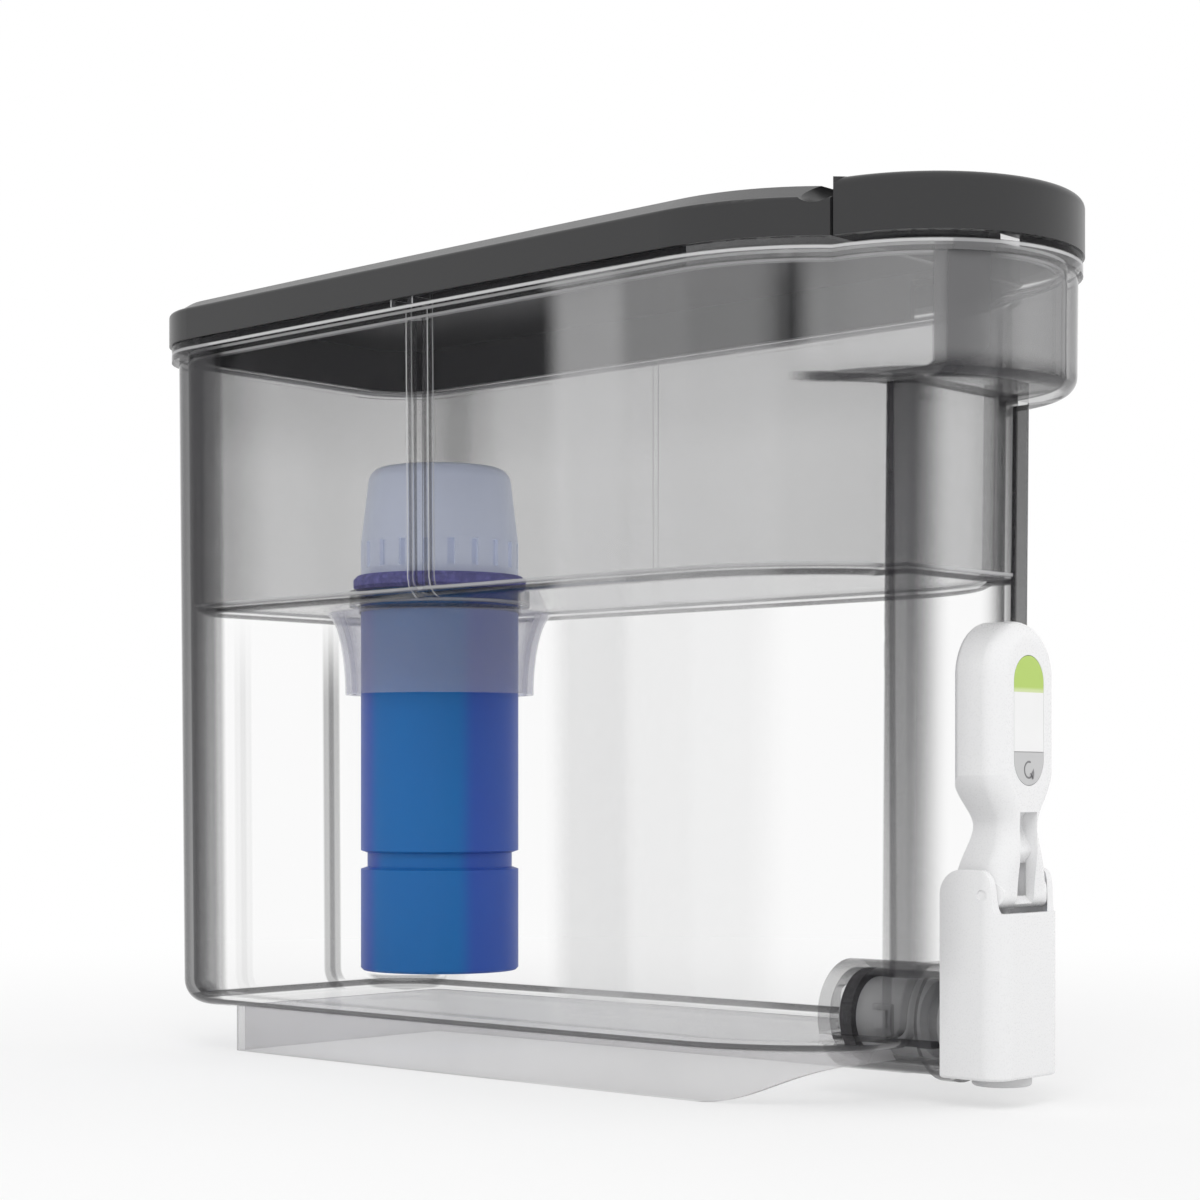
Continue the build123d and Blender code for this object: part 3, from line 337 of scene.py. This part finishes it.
def band(value, low, high, soft):
    """1 between low and high and 0 outside, with soft ends of that width."""
    return value.step(low - soft, low) * value.step(high + soft, high)


def over(share, *layers):
    """The share with more layers laid over it, each a share of its own."""
    clear = 1.0 - share
    for layer in layers:
        clear = clear * (1.0 - layer)
    return 1.0 - clear


def painted_reflection_bands(f, y):
    """Painted reflection: pale upright bands along the flat walls towards the nose, standing in for the
    reflection of soft light.
    """
    start, length = -135.0, 125.0
    stops = [(0.0, 0.13), (0.10, 0.13), (0.115, 0.25), (0.20, 0.25), (0.215, 0.14), (0.42, 0.14)]
    stops += [(0.44, 0.17), (0.60, 0.17), (0.64, 0.30), (0.80, 0.28), (0.86, 0.0)]
    along = (y - start) / length
    ramp = {"stops": [(spot, (share, share, share)) for spot, share in stops]}
    return f.node("ShaderNodeValToRGB", ramp, {0: along})


def side_walls(x):
    """1 on the left side wall, and 1 on the right one."""
    return (-x).step(WALL_FROM, WALL_FULL), x.step(WALL_FROM, WALL_FULL)


def rear_smoke_and_shade(x, y, z, facing):
    """Smoke in the rear corners seen edge on, painted shade on the walls beside them, far stronger on the
    left, and two upright dark lines low on the rear wall, the right one stronger.
    """
    left, right = side_walls(x)
    corner = abs(x).step(34.0, 38.0) * y.step(REAR_Y - 27.0, REAR_Y - 23.0)
    corner = corner * facing.step(0.27, 0.42) * 0.62
    # painted shade on the side walls beside the rear corners, 0.55 on the left and 0.1 on the right
    beside = (left * 0.55 + right * 0.1) * band(y, REAR_Y - 33.0, REAR_Y - 25.0, 3.5)
    below = z.step(RESERVOIR_LOW + 8.0, RESERVOIR_LOW - 30.0)
    line = band(abs(x), 18.6, 22.4, 1.2) * y.step(REAR_Y - 9.0, REAR_Y - 5.0) * below
    line = line * (0.1 + x.step(-1.0, 1.0) * 0.45)
    return beside.most(line).most(corner)


def panel_painted_shade(x, y):
    """Painted shade on the flanks of the front panel, darkest at their roots, and across its left part."""
    within = abs(x).step(PANEL_HALF + 1.2, PANEL_HALF + 0.4)
    flank = abs(x).step(PANEL_HALF - 4.0, PANEL_HALF - 2.6) * within * y.step(FRONT_Y + 3.0, FRONT_Y + 0.5)
    root = 0.86 + 0.12 * y.step(FRONT_Y - 1.5, FRONT_Y - 0.7)
    # painted shade across the left part of the panel's face
    face = (-x).step(10.0, PANEL_HALF - 1.0) * within * y.step(FRONT_Y - 2.0, FRONT_Y - 5.0) * 0.85
    return (flank * root).most(face)


def edge_smoke(x, y, z, bay):
    """Dark line along the lower edge of the tank and of its bay, and painted shade on the bay's right side.
    """
    low_edge = band(z, FLOOR_Z - 2.0, FLOOR_Z - 0.5, 0.4) * 0.85
    bay_edge = band(z, BAY_Z + 0.4, BAY_Z + 2.2, 0.6) * 0.7
    # painted shade on the right side of the bay
    bay_side_shade = z.step(BAY_Z - 1.0, BAY_Z) * x.step(16.0, 42.0) * 0.3
    return low_edge.most(bay * bay_edge.most(bay_side_shade))


def tunnel_smoke(x, y, z, facing):
    """Smoke of the tunnel round the tap's barrel, darker where it is seen edge on."""
    from_axis = (x ** 2.0 + (z - TUNNEL_Z) ** 2.0) ** 0.5
    inside = from_axis.step(20.5, 18.5) * y.step(FRONT_Y + 41.0, FRONT_Y + 38.0)
    return inside * (0.17 + 0.6 * facing.step(0.3, 0.8))


def tank_plastic(smoke, cover, edge_cover):
    """Clear plastic of the tank.

    Its smoke grows where the wall is seen edge on, in the rear corners, along the lower edges and round the
    tunnel, where light has more plastic to cross, and two dark lines stand low on the rear wall. Painted
    shade darkens the walls beside the rear corners, mostly on the left, the flanks and left part of the front
    panel, and the bay's right side; the shade on walls and panel and the rear smoke grow a little towards the
    top. A painted reflection lays pale upright bands on the left wall, a painted highlight runs just under
    the rim, and the round bay is paler above its floor.
    """
    f = new_finish("tank_smoke_dressed")
    place = f.place()
    x, y, z = f.parts(place)
    facing = f.facing()
    cloud = f.noise(f.stretched(place, FLOW_STRETCH), 0.02, 2.0)
    bay = y.step(FRONT_Y + 20.0, FRONT_Y + 12.0)
    seen_edge_on = facing.step(0.5, 0.88) * edge_cover * (0.15 + 0.85 * f.upright())
    # rear smoke and painted shade on the walls and panel, from 0.8 at the floor to full at the rim: painted
    # shade darker towards the top
    walls = rear_smoke_and_shade(x, y, z, facing).most(panel_painted_shade(x, y)) * (0.8 + 0.2 * z.step(20.0, RIM_Z))
    edges = edge_smoke(x, y, z, bay)
    share = over(cover * (0.5 + cloud), seen_edge_on, walls, edges, tunnel_smoke(x, y, z, facing))
    # painted highlight: a pale line just under the tank's rim
    rim_glint = band(z, TANK_TOP_Z - 0.9, TANK_TOP_Z - 0.4, 0.4) * 0.8
    # painted reflection: pale upright bands on the left wall, joined by the paler bay above its floor and the
    # painted rim highlight
    painted_reflection_and_pale_bay = painted_reflection_bands(f, y) * side_walls(x)[0] * z.step(FLOOR_Z - 1.0, FLOOR_Z + 9.0)
    painted_reflection_and_pale_bay = painted_reflection_and_pale_bay.most(bay * z.step(BAY_Z + 2.0, BAY_Z + 8.0) * 0.2).most(rim_glint)
    # the painted reflection, rim highlight and paler bay turn the colour towards pale grey
    colour = f.colours(painted_reflection_and_pale_bay / (painted_reflection_and_pale_bay + share), smoke, (0.66, 0.66, 0.665))
    return smoky(f, place, over(share, painted_reflection_and_pale_bay), colour)


def reservoir_plastic(smoke, cover, edge_cover):
    """Smokier clear plastic of the reservoir.

    Painted shade darkens it towards the rim, away from the front. Its smoke grows at the back of the side
    walls, along the edge round its floor and in the lines of a side flute on the left wall. Painted
    highlights run beside each flute line, just above the floor's edge and just under the rim. The socket
    below the floor is paler and milkier.
    """
    f = new_finish("reservoir_smoke_dressed")
    place = f.place()
    x, y, z = f.parts(place)
    left, right = side_walls(x)
    off_flute = abs(y - FLUTE_Y)
    cloud = f.noise(f.stretched(place, FLOW_STRETCH), 0.02, 2.0)
    socket = z.step(RESERVOIR_LOW + 0.1, RESERVOIR_LOW - 0.4)
    # painted shade below the lid: darker towards the rim, away from the front
    high = z.step(RIM_Z - 38.0, RIM_Z - 14.0) * y.step(FRONT_Y + 4.0, FRONT_Y + 40.0) * 0.06
    rear = y.step(REAR_Y - 60.0, REAR_Y - 34.0) * left.most(right) * 0.2
    behind_front = 1.0 - 0.7 * y.step(FRONT_Y + 40.0, FRONT_Y + 15.0)
    edge = f.facing().step(0.42, 0.85) * edge_cover * (0.3 + 0.7 * f.upright()) * behind_front
    rim_line = band(z, RESERVOIR_LOW + 0.5, RESERVOIR_LOW + 1.6, 0.4) * 0.8
    flute_line = band(off_flute, 2.9, 3.8, 0.4) * left * 0.6
    share = cover * (0.85 + 0.3 * cloud) * (1.0 + 0.3 * socket)
    share = over(share, high, rear, edge, rim_line, flute_line)
    # painted highlights: a pale line above the floor's edge, one beside each flute line and one under the rim
    glint = band(z, RESERVOIR_LOW + 2.7, RESERVOIR_LOW + 3.3, 0.4)
    glint = glint.most(band(off_flute, 4.6, 4.9, 0.3) * left)
    glint = glint.most(band(z, RIM_Z - 1.3, RIM_Z - 0.7, 0.3)) * 0.7
    tint = f.colours(socket, smoke, (0.50, 0.50, 0.60))
    colour = f.colours(glint, tint, (0.85, 0.85, 0.86))
    return smoky(f, place, share.most(glint), colour)


def frosted_plastic(name, colour, cover, grain_scale, painted_glow=0.0):
    """Frosted clear plastic: a milky share over a clear one, thicker edge on, with a fine etched grain.

    The last argument is the strength of a painted glow: the surface glows in its own colour, in place of the
    light that the frosted wall carries through from behind.
    """
    f = new_finish(name)
    place = f.place()
    grain = f.noise(place, grain_scale, 4.0, 0.6)
    cloud = f.noise(place, 0.03, 3.0)
    share = (cover + (cloud - 0.5) * 0.12 + f.facing().step(0.3, 1.0) * (1.0 - cover)).least(1.0)
    shade = f.colours(cloud, [c * 0.94 for c in colour], colour)
    rough = 0.34 + grain * 0.22
    normal = f.bump(grain, 0.12, 0.0002)
    surface = f.plastic(
        Base_Color=shade, Roughness=rough, Normal=normal, IOR=1.49, Specular_IOR_Level=0.3,
        # painted glow: the surface emits its own shade, standing in for light carried through from behind
        Emission_Color=shade, Emission_Strength=painted_glow,
    )
    return f.done(f.over_clear(share, surface))


def moulded_plastic(name, colour, rough, grain_scale=2.2, grain_depth=0.08, wear=0.04, coat=0.0):
    """Solid moulded plastic: spark-eroded grain, slow shade drift, and faint handling marks."""
    f = new_finish(name)
    place = f.place()
    grain = f.noise(place, grain_scale, 5.0, 0.6)
    drift = f.noise(place, 0.035, 2.0)
    marks = f.noise(f.stretched(place, (0.35, 1.0, 1.7)), 0.55, 6.0, 0.7).step(0.6, 0.78)
    shade = f.colours(drift, [c * (1.0 - wear) for c in colour], colour)
    shade = f.colours(marks * (2.0 * wear), shade, [c * 0.85 for c in colour])
    roughness = rough + (grain - 0.5) * 0.1 + marks * 0.08
    normal = f.bump(grain, grain_depth, 0.0003)
    surface = f.plastic(
        Base_Color=shade, Roughness=roughness, Normal=normal, IOR=1.47,
        Coat_Weight=coat, Coat_Roughness=0.12,
    )
    return f.done(surface)


def metal(name, colour, rough, along):
    """Drawn or turned metal: fine lines across one axis, darker in the lines."""
    f = new_finish(name)
    place = f.place()
    lines = f.noise(f.stretched(place, along), 2.6, 3.0)
    shade = f.colours(lines, [c * 0.7 for c in colour], colour)
    normal = f.bump(lines, 0.2, 0.0001)
    surface = f.plastic(Base_Color=shade, Roughness=rough + lines * 0.15, Metallic=1.0, Normal=normal)
    return f.done(surface)


def soft_rubber(name, colour):
    """Matte rubber with a dusty bloom."""
    f = new_finish(name)
    place = f.place()
    bloom = f.noise(place, 0.4, 5.0, 0.65)
    shade = f.colours(bloom.step(0.4, 0.75), colour, [c * 1.7 + 0.01 for c in colour])
    normal = f.bump(f.noise(place, 3.0, 3.0), 0.15, 0.0002)
    return f.done(f.plastic(Base_Color=shade, Roughness=0.55 + bloom * 0.2, Normal=normal))


# ---------------------------------------------------------------- settings
def colour_setting(name, description, default):
    """A colour with a field in the panel."""
    return bpy.props.FloatVectorProperty(
        name=name, description=description, default=default, subtype="COLOR", size=3, min=0.0, max=1.0
    )


def share_setting(name, description, default):
    """A number from 0 to 1 with a slider in the panel."""
    return bpy.props.FloatProperty(
        name=name, description=description, default=default, subtype="FACTOR", min=0.0, max=1.0
    )


class ShellSettings(bpy.types.PropertyGroup):
    smoke: colour_setting("Smoke", "Colour of the smoke in the clear plastic", (0.030, 0.029, 0.033))
    tank_cover: share_setting("Tank smoke", "Share of smoke on each face of the tank", 0.012)
    reservoir_cover: share_setting("Reservoir smoke", "Share of smoke on each face of the reservoir", 0.155)
    edge_cover: share_setting("Edge smoke", "Share of smoke where a clear wall is seen edge on", 0.85)
    foot: colour_setting("Foot", "Colour of the frosted foot ring", (0.62, 0.61, 0.62))


class TapSettings(bpy.types.PropertyGroup):
    white: colour_setting("White", "Colour of the housing and lever", (0.86, 0.86, 0.865))
    grey: colour_setting("Nozzle", "Colour of the outlet nozzle", (0.62, 0.62, 0.625))
    valve: colour_setting("Valve", "Colour of the valve's chamber and bonnet", (0.72, 0.72, 0.73))
    rubber: colour_setting("Rubber", "Colour of gasket, ring and washer", (0.06, 0.058, 0.062))
    steel: colour_setting("Steel", "Colour of screws, spring and hinge pin", (0.6, 0.6, 0.61))


class IndicatorSettings(bpy.types.PropertyGroup):
    lamp: colour_setting("Lamp", "Colour of the filter-change lamp", (0.46, 0.64, 0.12))
    lamp_edge: colour_setting("Lamp edge", "Colour of the lamp at its outline", (0.72, 0.78, 0.48))
    strip: colour_setting("Strip", "Colour of the strip below the lamp", (0.9, 0.9, 0.9))
    button: colour_setting("Button", "Colour of the reset button", (0.56, 0.56, 0.565))
    # the strip and button turn to this dark colour at their outline: painted shade of the groove round them
    groove: colour_setting("Groove", "Colour in the groove round strip and button", (0.12, 0.12, 0.12))
    mark: colour_setting("Mark", "Colour of the turning arrow", (0.2, 0.2, 0.205))
    board: colour_setting("Board", "Colour of the circuit board", (0.03, 0.17, 0.08))
    cell: colour_setting("Cell", "Colour of the coin cell", (0.62, 0.62, 0.63))
    mark_radius: bpy.props.FloatProperty(
        name="Mark radius", description="Radius of the turning arrow on the reset button",
        subtype="DISTANCE", unit="LENGTH", min=0.001, max=0.004, default=0.0022,
    )


class CartridgeSettings(bpy.types.PropertyGroup):
    deep: colour_setting("Deep blue", "Colour at the shaded sides of the cup", (0.036, 0.085, 0.40))
    # the teal bands are a painted sheen
    teal: colour_setting("Teal", "Colour of the teal bands", (0.014, 0.15, 0.43))
    seal: colour_setting("Seal", "Colour of the seal ring", (0.15, 0.145, 0.42))
    cap: colour_setting("Cap", "Colour of the frosted cap", (0.71, 0.75, 0.86))
    bed: colour_setting("Bed", "Colour of the filter bed", (0.05, 0.05, 0.052))
    screen: colour_setting("Screens", "Colour of the two screens", (0.8, 0.8, 0.8))


class LidSettings(bpy.types.PropertyGroup):
    charcoal: colour_setting("Charcoal", "Colour of lid and fill door", (0.025, 0.025, 0.026))
    rough: share_setting("Roughness", "Roughness of lid and fill door", 0.3)


class StageSettings(bpy.types.PropertyGroup):
    light: bpy.props.FloatProperty(
        name="Surround", description="Strength of the even light from all round",
        min=0.0, max=2.0, default=0.72,
    )
    floor: bpy.props.FloatProperty(
        name="Floor size", description="Half the width of the floor",
        subtype="DISTANCE", unit="LENGTH", min=1.0, max=20.0, default=6.0,
    )


# ---------------------------------------------------------------- pieces
class WATERFILTER_OT_tank(bpy.types.Operator):
    """Clear tank and its frosted foot ring"""

    bl_idname = "waterfilter.tank"
    bl_label = "Tank and foot"

    def execute(self, context):
        s = context.scene.water_filter_shell
        paint(tank_plastic(s.smoke, s.tank_cover, s.edge_cover), "tank")
        paint(frosted_plastic("foot_frost_dressed", s.foot, 0.3, 1.6), "base_skirt")
        return {"FINISHED"}


class WATERFILTER_OT_reservoir(bpy.types.Operator):
    """Smoky reservoir that hangs in the tank"""

    bl_idname = "waterfilter.reservoir"
    bl_label = "Reservoir"

    def execute(self, context):
        s = context.scene.water_filter_shell
        paint(reservoir_plastic(s.smoke, s.reservoir_cover, 0.6 * s.edge_cover), "reservoir")
        return {"FINISHED"}


class WATERFILTER_OT_tap(bpy.types.Operator):
    """Tap housing, lever, nozzle and back cover"""

    bl_idname = "waterfilter.tap"
    bl_label = "Tap and lever"

    def execute(self, context):
        s = context.scene.water_filter_tap
        white = moulded_plastic("tap_white_dressed", s.white, 0.28, wear=0.02, coat=0.2)
        paint(white, "tap_body", "tap_back_cover", "lever_arm", "lever_cover", "valve_stem", "lever_pins")
        paint(moulded_plastic("nozzle_grey_dressed", s.grey, 0.42), "tap_nozzle")
        return {"FINISHED"}


class WATERFILTER_OT_indicator(bpy.types.Operator):
    """Lamp, strip and reset button in the lever"""

    bl_idname = "waterfilter.indicator"
    bl_label = "Indicator"

    def execute(self, context):
        s = context.scene.water_filter_indicator
        paint(window_plastic("lamp_green_dressed", "lamp_lens", s.lamp, s.lamp_edge, 1.6, 1), "lamp_lens")
        strip = window_plastic("strip_white_dressed", "indicator_strip", s.strip, s.groove, 0.3, 0)
        paint(strip, "indicator_strip")
        button = window_plastic("button_grey_dressed", "reset_button", s.button, s.groove, 0.3, -1)
        paint(button, "reset_button")
        turning_arrow(s.mark_radius, moulded_plastic("arrow_grey_dressed", s.mark, 0.4))
        paint(moulded_plastic("board_green_dressed", s.board, 0.35), "circuit_board")
        paint(metal("cell_steel_dressed", s.cell, 0.25, (0.05, 1.0, 1.0)), "coin_cell")
        return {"FINISHED"}


def window_plastic(name, node, colour, rim, width, round_end):
    """Plastic of a piece in the lever's window; its colour turns to the rim's towards the outline, which on
    the strip and button is painted shade of the groove round them.

    The outline is a strip with straight sides. Its round end is at the top for 1 and at the bottom for
    -1, and the other end is straight. For 0 both ends are left as they are.
    """
    low, high = edges_of(node)
    radius = high[0]
    f = new_finish(name)
    place = f.place()
    x, _, z = f.parts(place)
    centre = high[2] - radius if round_end > 0 else low[2] + radius
    past = ((z - centre) * float(round_end)).most(0.0)
    edge = ((x ** 2.0 + past ** 2.0) ** 0.5).step(radius - width, radius - 0.2 * width)
    straight = low[2] if round_end > 0 else high[2]
    if round_end:
        edge = edge.most(abs(z - straight).step(width, 0.2 * width))
    grain = f.noise(place, 2.2, 5.0, 0.6)
    plain_shade = f.colours(f.noise(place, 0.08, 2.0), [c * 0.95 for c in colour], colour)
    # towards the outline the colour turns to the rim colour: painted shade of the groove on strip and button,
    # a paler edge on the lamp
    shade = f.colours(edge * 0.7, plain_shade, rim)
    surface = f.plastic(
        Base_Color=shade, Roughness=0.26 + grain * 0.1, Normal=f.bump(grain, 0.06, 0.0002), IOR=1.47,
        Coat_Weight=0.3, Coat_Roughness=0.12,
    )
    return f.done(surface)


def turning_arrow(radius, material):
    """Turning arrow moulded on the reset button: a round bar carried along most of a circle.

    The bar's own radius is even, starts from a point, steps up to the width of the head near the end of
    the way and falls in a straight line to nothing. It is half sunk in the button's face and flattened to
    half depth.
    """
    bar, head, head_share = 0.27, 1.05, 0.22
    start, sweep = np.radians(70.0), np.radians(300.0)
    shaft = [0.0, 0.0, 0.02, *np.linspace(0.06, 1.0 - head_share, 30)]
    way = np.array([*shaft, 1.0 - head_share, *np.linspace(0.8, 1.0, 6)])
    thick = np.where(np.arange(len(way)) < len(shaft), bar, head * (1.0 - way) / head_share)
    thick[0] = 0.0
    angle = start + way * sweep
    round_bar = np.linspace(0, 2 * np.pi, 12, endpoint=False)[:, None]
    out = radius / MM + thick * np.cos(round_bar)
    x = out * np.cos(angle)
    y = np.broadcast_to(BUTTON_FRONT_Y + 0.5 * thick * np.sin(round_bar), x.shape)
    z = MARK_Z + out * np.sin(angle)
    item = grid_object("button_arrow", np.stack([x, y, z], axis=-1))
    return finished(item, "reset_button", material)


class WATERFILTER_OT_valve(bpy.types.Operator):
    """Valve parts, screws, pins and spring"""

    bl_idname = "waterfilter.valve"
    bl_label = "Valve"

    def execute(self, context):
        s = context.scene.water_filter_tap
        paint(moulded_plastic("valve_grey_dressed", s.valve, 0.45), "valve_body", "valve_bonnet")
        paint(soft_rubber("dark_rubber_dressed", s.rubber), "barrel_gasket", "stem_ring", "valve_seal")
        steel = metal("steel_dressed", s.steel, 0.22, (1.0, 0.1, 1.0))
        paint(steel, "cover_screws", "return_spring", "hinge_pin")
        return {"FINISHED"}


def cap_deck(material):
    """Deck and sleeve inside the cap, turned from one closed profile.

    The outer wall runs up from the seal, rounds over through a quarter circle into a deck that dips by
    the square of the radius, and comes back down inside at one wall's distance.
    """
    radius, wall, round_r, dip = 21.7, 1.2, 1.6, 0.8
    low, high = SEAT_Z + 5.2, SEAT_Z + 19.0
    turn = np.linspace(0.0, np.pi / 2, 7)
    across = np.linspace(1.0, 0.0, 10)[1:]
    up = [(radius, low), (radius, (low + high) / 2)]
    flat = radius - round_r
    corner = np.stack([flat + round_r * np.cos(turn), high - round_r + round_r * np.sin(turn)], 1)
    deck = np.stack([flat * across, high - dip * (1.0 - across ** 2)], 1)
    under = deck[::-1] * (0.98, 1.0) - (0.0, wall)
    back = [(radius - wall, high - wall - 1.2), (radius - wall, low)]
    profile = np.vstack([up, corner, deck, under, back, up[:1]])
    item = lathe("cap_deck", profile, centre=(0.0, CARTRIDGE_Y))
    return finished(item, "filter", material)


class WATERFILTER_OT_cartridge(bpy.types.Operator):
    """Filter cartridge with its seal, cap, bed and screens"""

    bl_idname = "waterfilter.cartridge"
    bl_label = "Cartridge"

    def execute(self, context):
        s = context.scene.water_filter_cartridge
        paint(cup_finish(s.deep, s.teal), "filter_body")
        paint(soft_rubber("seal_violet_dressed", s.seal), "filter_seal")
        paint(frosted_plastic("cap_frost_dressed", s.cap, 0.6, 1.2, 0.22), "filter_cap")
        cap_deck(frosted_plastic("deck_frost_dressed", [c * 0.95 for c in s.cap], 0.6, 1.2, 0.2))
        paint(moulded_plastic("filter_bed_dressed", s.bed, 0.8, 0.9, 0.8), "filter_media")
        mesh = moulded_plastic("screen_white_dressed", s.screen, 0.6, 1.4, 0.6)
        paint(mesh, "filter_inlet_screen", "filter_outlet_screen")
        return {"FINISHED"}


def cup_finish(deep, teal):
    """Satin blue with a painted sheen: two broad teal bands that run up the cup on opposite sides, softly
    edged, in place of the reflection of soft light.
    """
    f = new_finish("filter_blue_dressed")
    place = f.place()
    x, y, z = f.parts(f.stretched(place, (1, 1, 1), (0, CARTRIDGE_Y, 0)))
    turn = f.node("ShaderNodeMath", {"operation": "ARCTAN2"}, {0: y, 1: x})
    # painted sheen: teal bands round the cup's axis where the satin would reflect the lamps
    teal_painted_sheen = (turn * 2.0 - np.radians(415.0)).maths("COSINE").step(0.0, 0.5)
    grain = f.noise(place, 1.8, 4.0)
    drift = f.noise(place, 0.06, 2.0)
    shade = f.colours(teal_painted_sheen * 0.85 + drift * 0.15, deep, teal)
    normal = f.bump(grain, 0.08, 0.0002)
    rough = 0.36 + grain * 0.12
    surface = f.plastic(Base_Color=shade, Roughness=rough, Normal=normal, IOR=1.47, Specular_IOR_Level=0.25)
    return f.done(surface)


class WATERFILTER_OT_lid(bpy.types.Operator):
    """Charcoal lid and fill door"""

    bl_idname = "waterfilter.lid"
    bl_label = "Lid and fill door"

    def execute(self, context):
        s = context.scene.water_filter_lid
        charcoal = moulded_plastic("lid_charcoal_dressed", s.charcoal, s.rough, 2.6, 0.1, 0.06)
        paint(charcoal, "lid", "fill_door")
        return {"FINISHED"}


# ---------------------------------------------------------------- floor, light and camera
class WATERFILTER_OT_stage(bpy.types.Operator):
    """Pale floor, soft light from all round and the camera"""

    bl_idname = "waterfilter.stage"
    bl_label = "Floor, light and camera"

    def execute(self, context):
        s = context.scene.water_filter_stage
        make_floor(s.floor)
        make_world(s.light)
        for lamp in LAMPS:
            soft_lamp(*lamp)
        make_camera(context.scene)
        context.scene.view_settings.view_transform = "Standard"
        context.scene.cycles.transparent_max_bounces = 64
        return {"FINISHED"}


def make_floor(half):
    """Pale floor that keeps the soft shadow near the object and runs out to plain white further off."""
    mesh = bpy.data.meshes.new("floor")
    corners = [(-half, -half, 0), (half, -half, 0), (half, half, 0), (-half, half, 0)]
    mesh.from_pydata(corners, [], [(0, 1, 2, 3)])
    floor = bpy.data.objects.new("floor", mesh)
    bpy.context.scene.collection.objects.link(floor)
    f = new_finish("floor_pale")
    x, y, _ = f.parts(f.place())
    far = ((x ** 2.0 + y ** 2.0) ** 0.5).step(260.0, 700.0)
    matte = f.node("ShaderNodeBsdfDiffuse", inputs={"Color": (0.9, 0.9, 0.9, 1)})
    glow = f.node("ShaderNodeEmission", inputs={"Color": WHITE, "Strength": 1.0})
    mixed = f.node("ShaderNodeMixShader", inputs={0: seen_rays(f) * (0.6 + 0.4 * far), 1: matte, 2: glow})
    mesh.materials.append(f.done(mixed))


def seen_rays(f):
    """1 for rays that show the background: from the camera, through glass and in reflections."""
    path = f.node("ShaderNodeLightPath").socket.node.outputs
    rays = [Value(f, path[name]) for name in ("Is Camera Ray", "Is Glossy Ray", "Is Transmission Ray")]
    return rays[0].most(rays[1]).most(rays[2])


def make_world(strength):
    """Even surround: plain light on the object, and white where it is seen."""
    world = bpy.data.worlds.new("surround")
    bpy.context.scene.world = world
    f = Finish(world)
    level = strength + seen_rays(f) * (1.0 - strength)
    glow = f.node("ShaderNodeBackground", inputs={"Color": WHITE, "Strength": level})
    f.node("ShaderNodeOutputWorld", inputs={"Surface": glow})


def soft_lamp(name, place, aim, size, power):
    """Square area lamp that faces the aim point."""
    data = bpy.data.lights.new(name, "AREA")
    data.size = size
    data.energy = power
    lamp = bpy.data.objects.new(name, data)
    lamp.location = place
    way = np.array(aim) - np.array(place)
    flat = np.hypot(way[0], way[1])
    lamp.rotation_euler = (np.arctan2(flat, -way[2]), 0.0, np.arctan2(-way[0], way[1]))
    lamp.visible_glossy = False
    bpy.context.scene.collection.objects.link(lamp)


def make_camera(scene):
    """Level camera to the left of the front, shifted up so that upright edges stay upright."""
    data = bpy.data.cameras.new("view")
    data.lens = data.sensor_width * FOCAL / PICTURE
    data.shift_y = HORIZON / PICTURE - 0.5
    camera = bpy.data.objects.new("view", data)
    camera.location = EYE
    camera.rotation_euler = (np.radians(90.0), 0.0, np.radians(-HEADING))
    scene.collection.objects.link(camera)
    scene.camera = camera


# ---------------------------------------------------------------- panel and registration
class WATERFILTER_PT_panel(bpy.types.Panel):
    """Buttons for the pieces, and their settings"""

    bl_label = "Water Filter"
    bl_idname = "WATERFILTER_PT_panel"
    bl_space_type = "VIEW_3D"
    bl_region_type = "UI"
    bl_category = "Water Filter"

    def draw(self, context):
        layout = self.layout
        for operator in OPERATORS:
            layout.operator(operator.bl_idname)
        for name in SETTINGS:
            group = getattr(context.scene, name)
            box = layout.box()
            for key in group.__annotations__:
                box.prop(group, key)


OPERATORS = (
    WATERFILTER_OT_tank,
    WATERFILTER_OT_reservoir,
    WATERFILTER_OT_lid,
    WATERFILTER_OT_cartridge,
    WATERFILTER_OT_valve,
    WATERFILTER_OT_tap,
    WATERFILTER_OT_indicator,
    WATERFILTER_OT_stage,
)
SETTINGS = {
    "water_filter_shell": ShellSettings,
    "water_filter_tap": TapSettings,
    "water_filter_indicator": IndicatorSettings,
    "water_filter_cartridge": CartridgeSettings,
    "water_filter_lid": LidSettings,
    "water_filter_stage": StageSettings,
}
CLASSES = (*SETTINGS.values(), *OPERATORS, WATERFILTER_PT_panel)


def register():
    for item in CLASSES:
        bpy.utils.register_class(item)
    for name, group in SETTINGS.items():
        setattr(bpy.types.Scene, name, bpy.props.PointerProperty(type=group))


def unregister():
    for name in SETTINGS:
        delattr(bpy.types.Scene, name)
    for item in reversed(CLASSES):
        bpy.utils.unregister_class(item)


def main():
    """Registers the add-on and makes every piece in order."""
    register()
    bpy.ops.waterfilter.tank()
    bpy.ops.waterfilter.reservoir()
    bpy.ops.waterfilter.lid()
    bpy.ops.waterfilter.cartridge()
    bpy.ops.waterfilter.valve()
    bpy.ops.waterfilter.tap()
    bpy.ops.waterfilter.indicator()
    bpy.ops.waterfilter.stage()


if __name__ == "__main__":
    main()
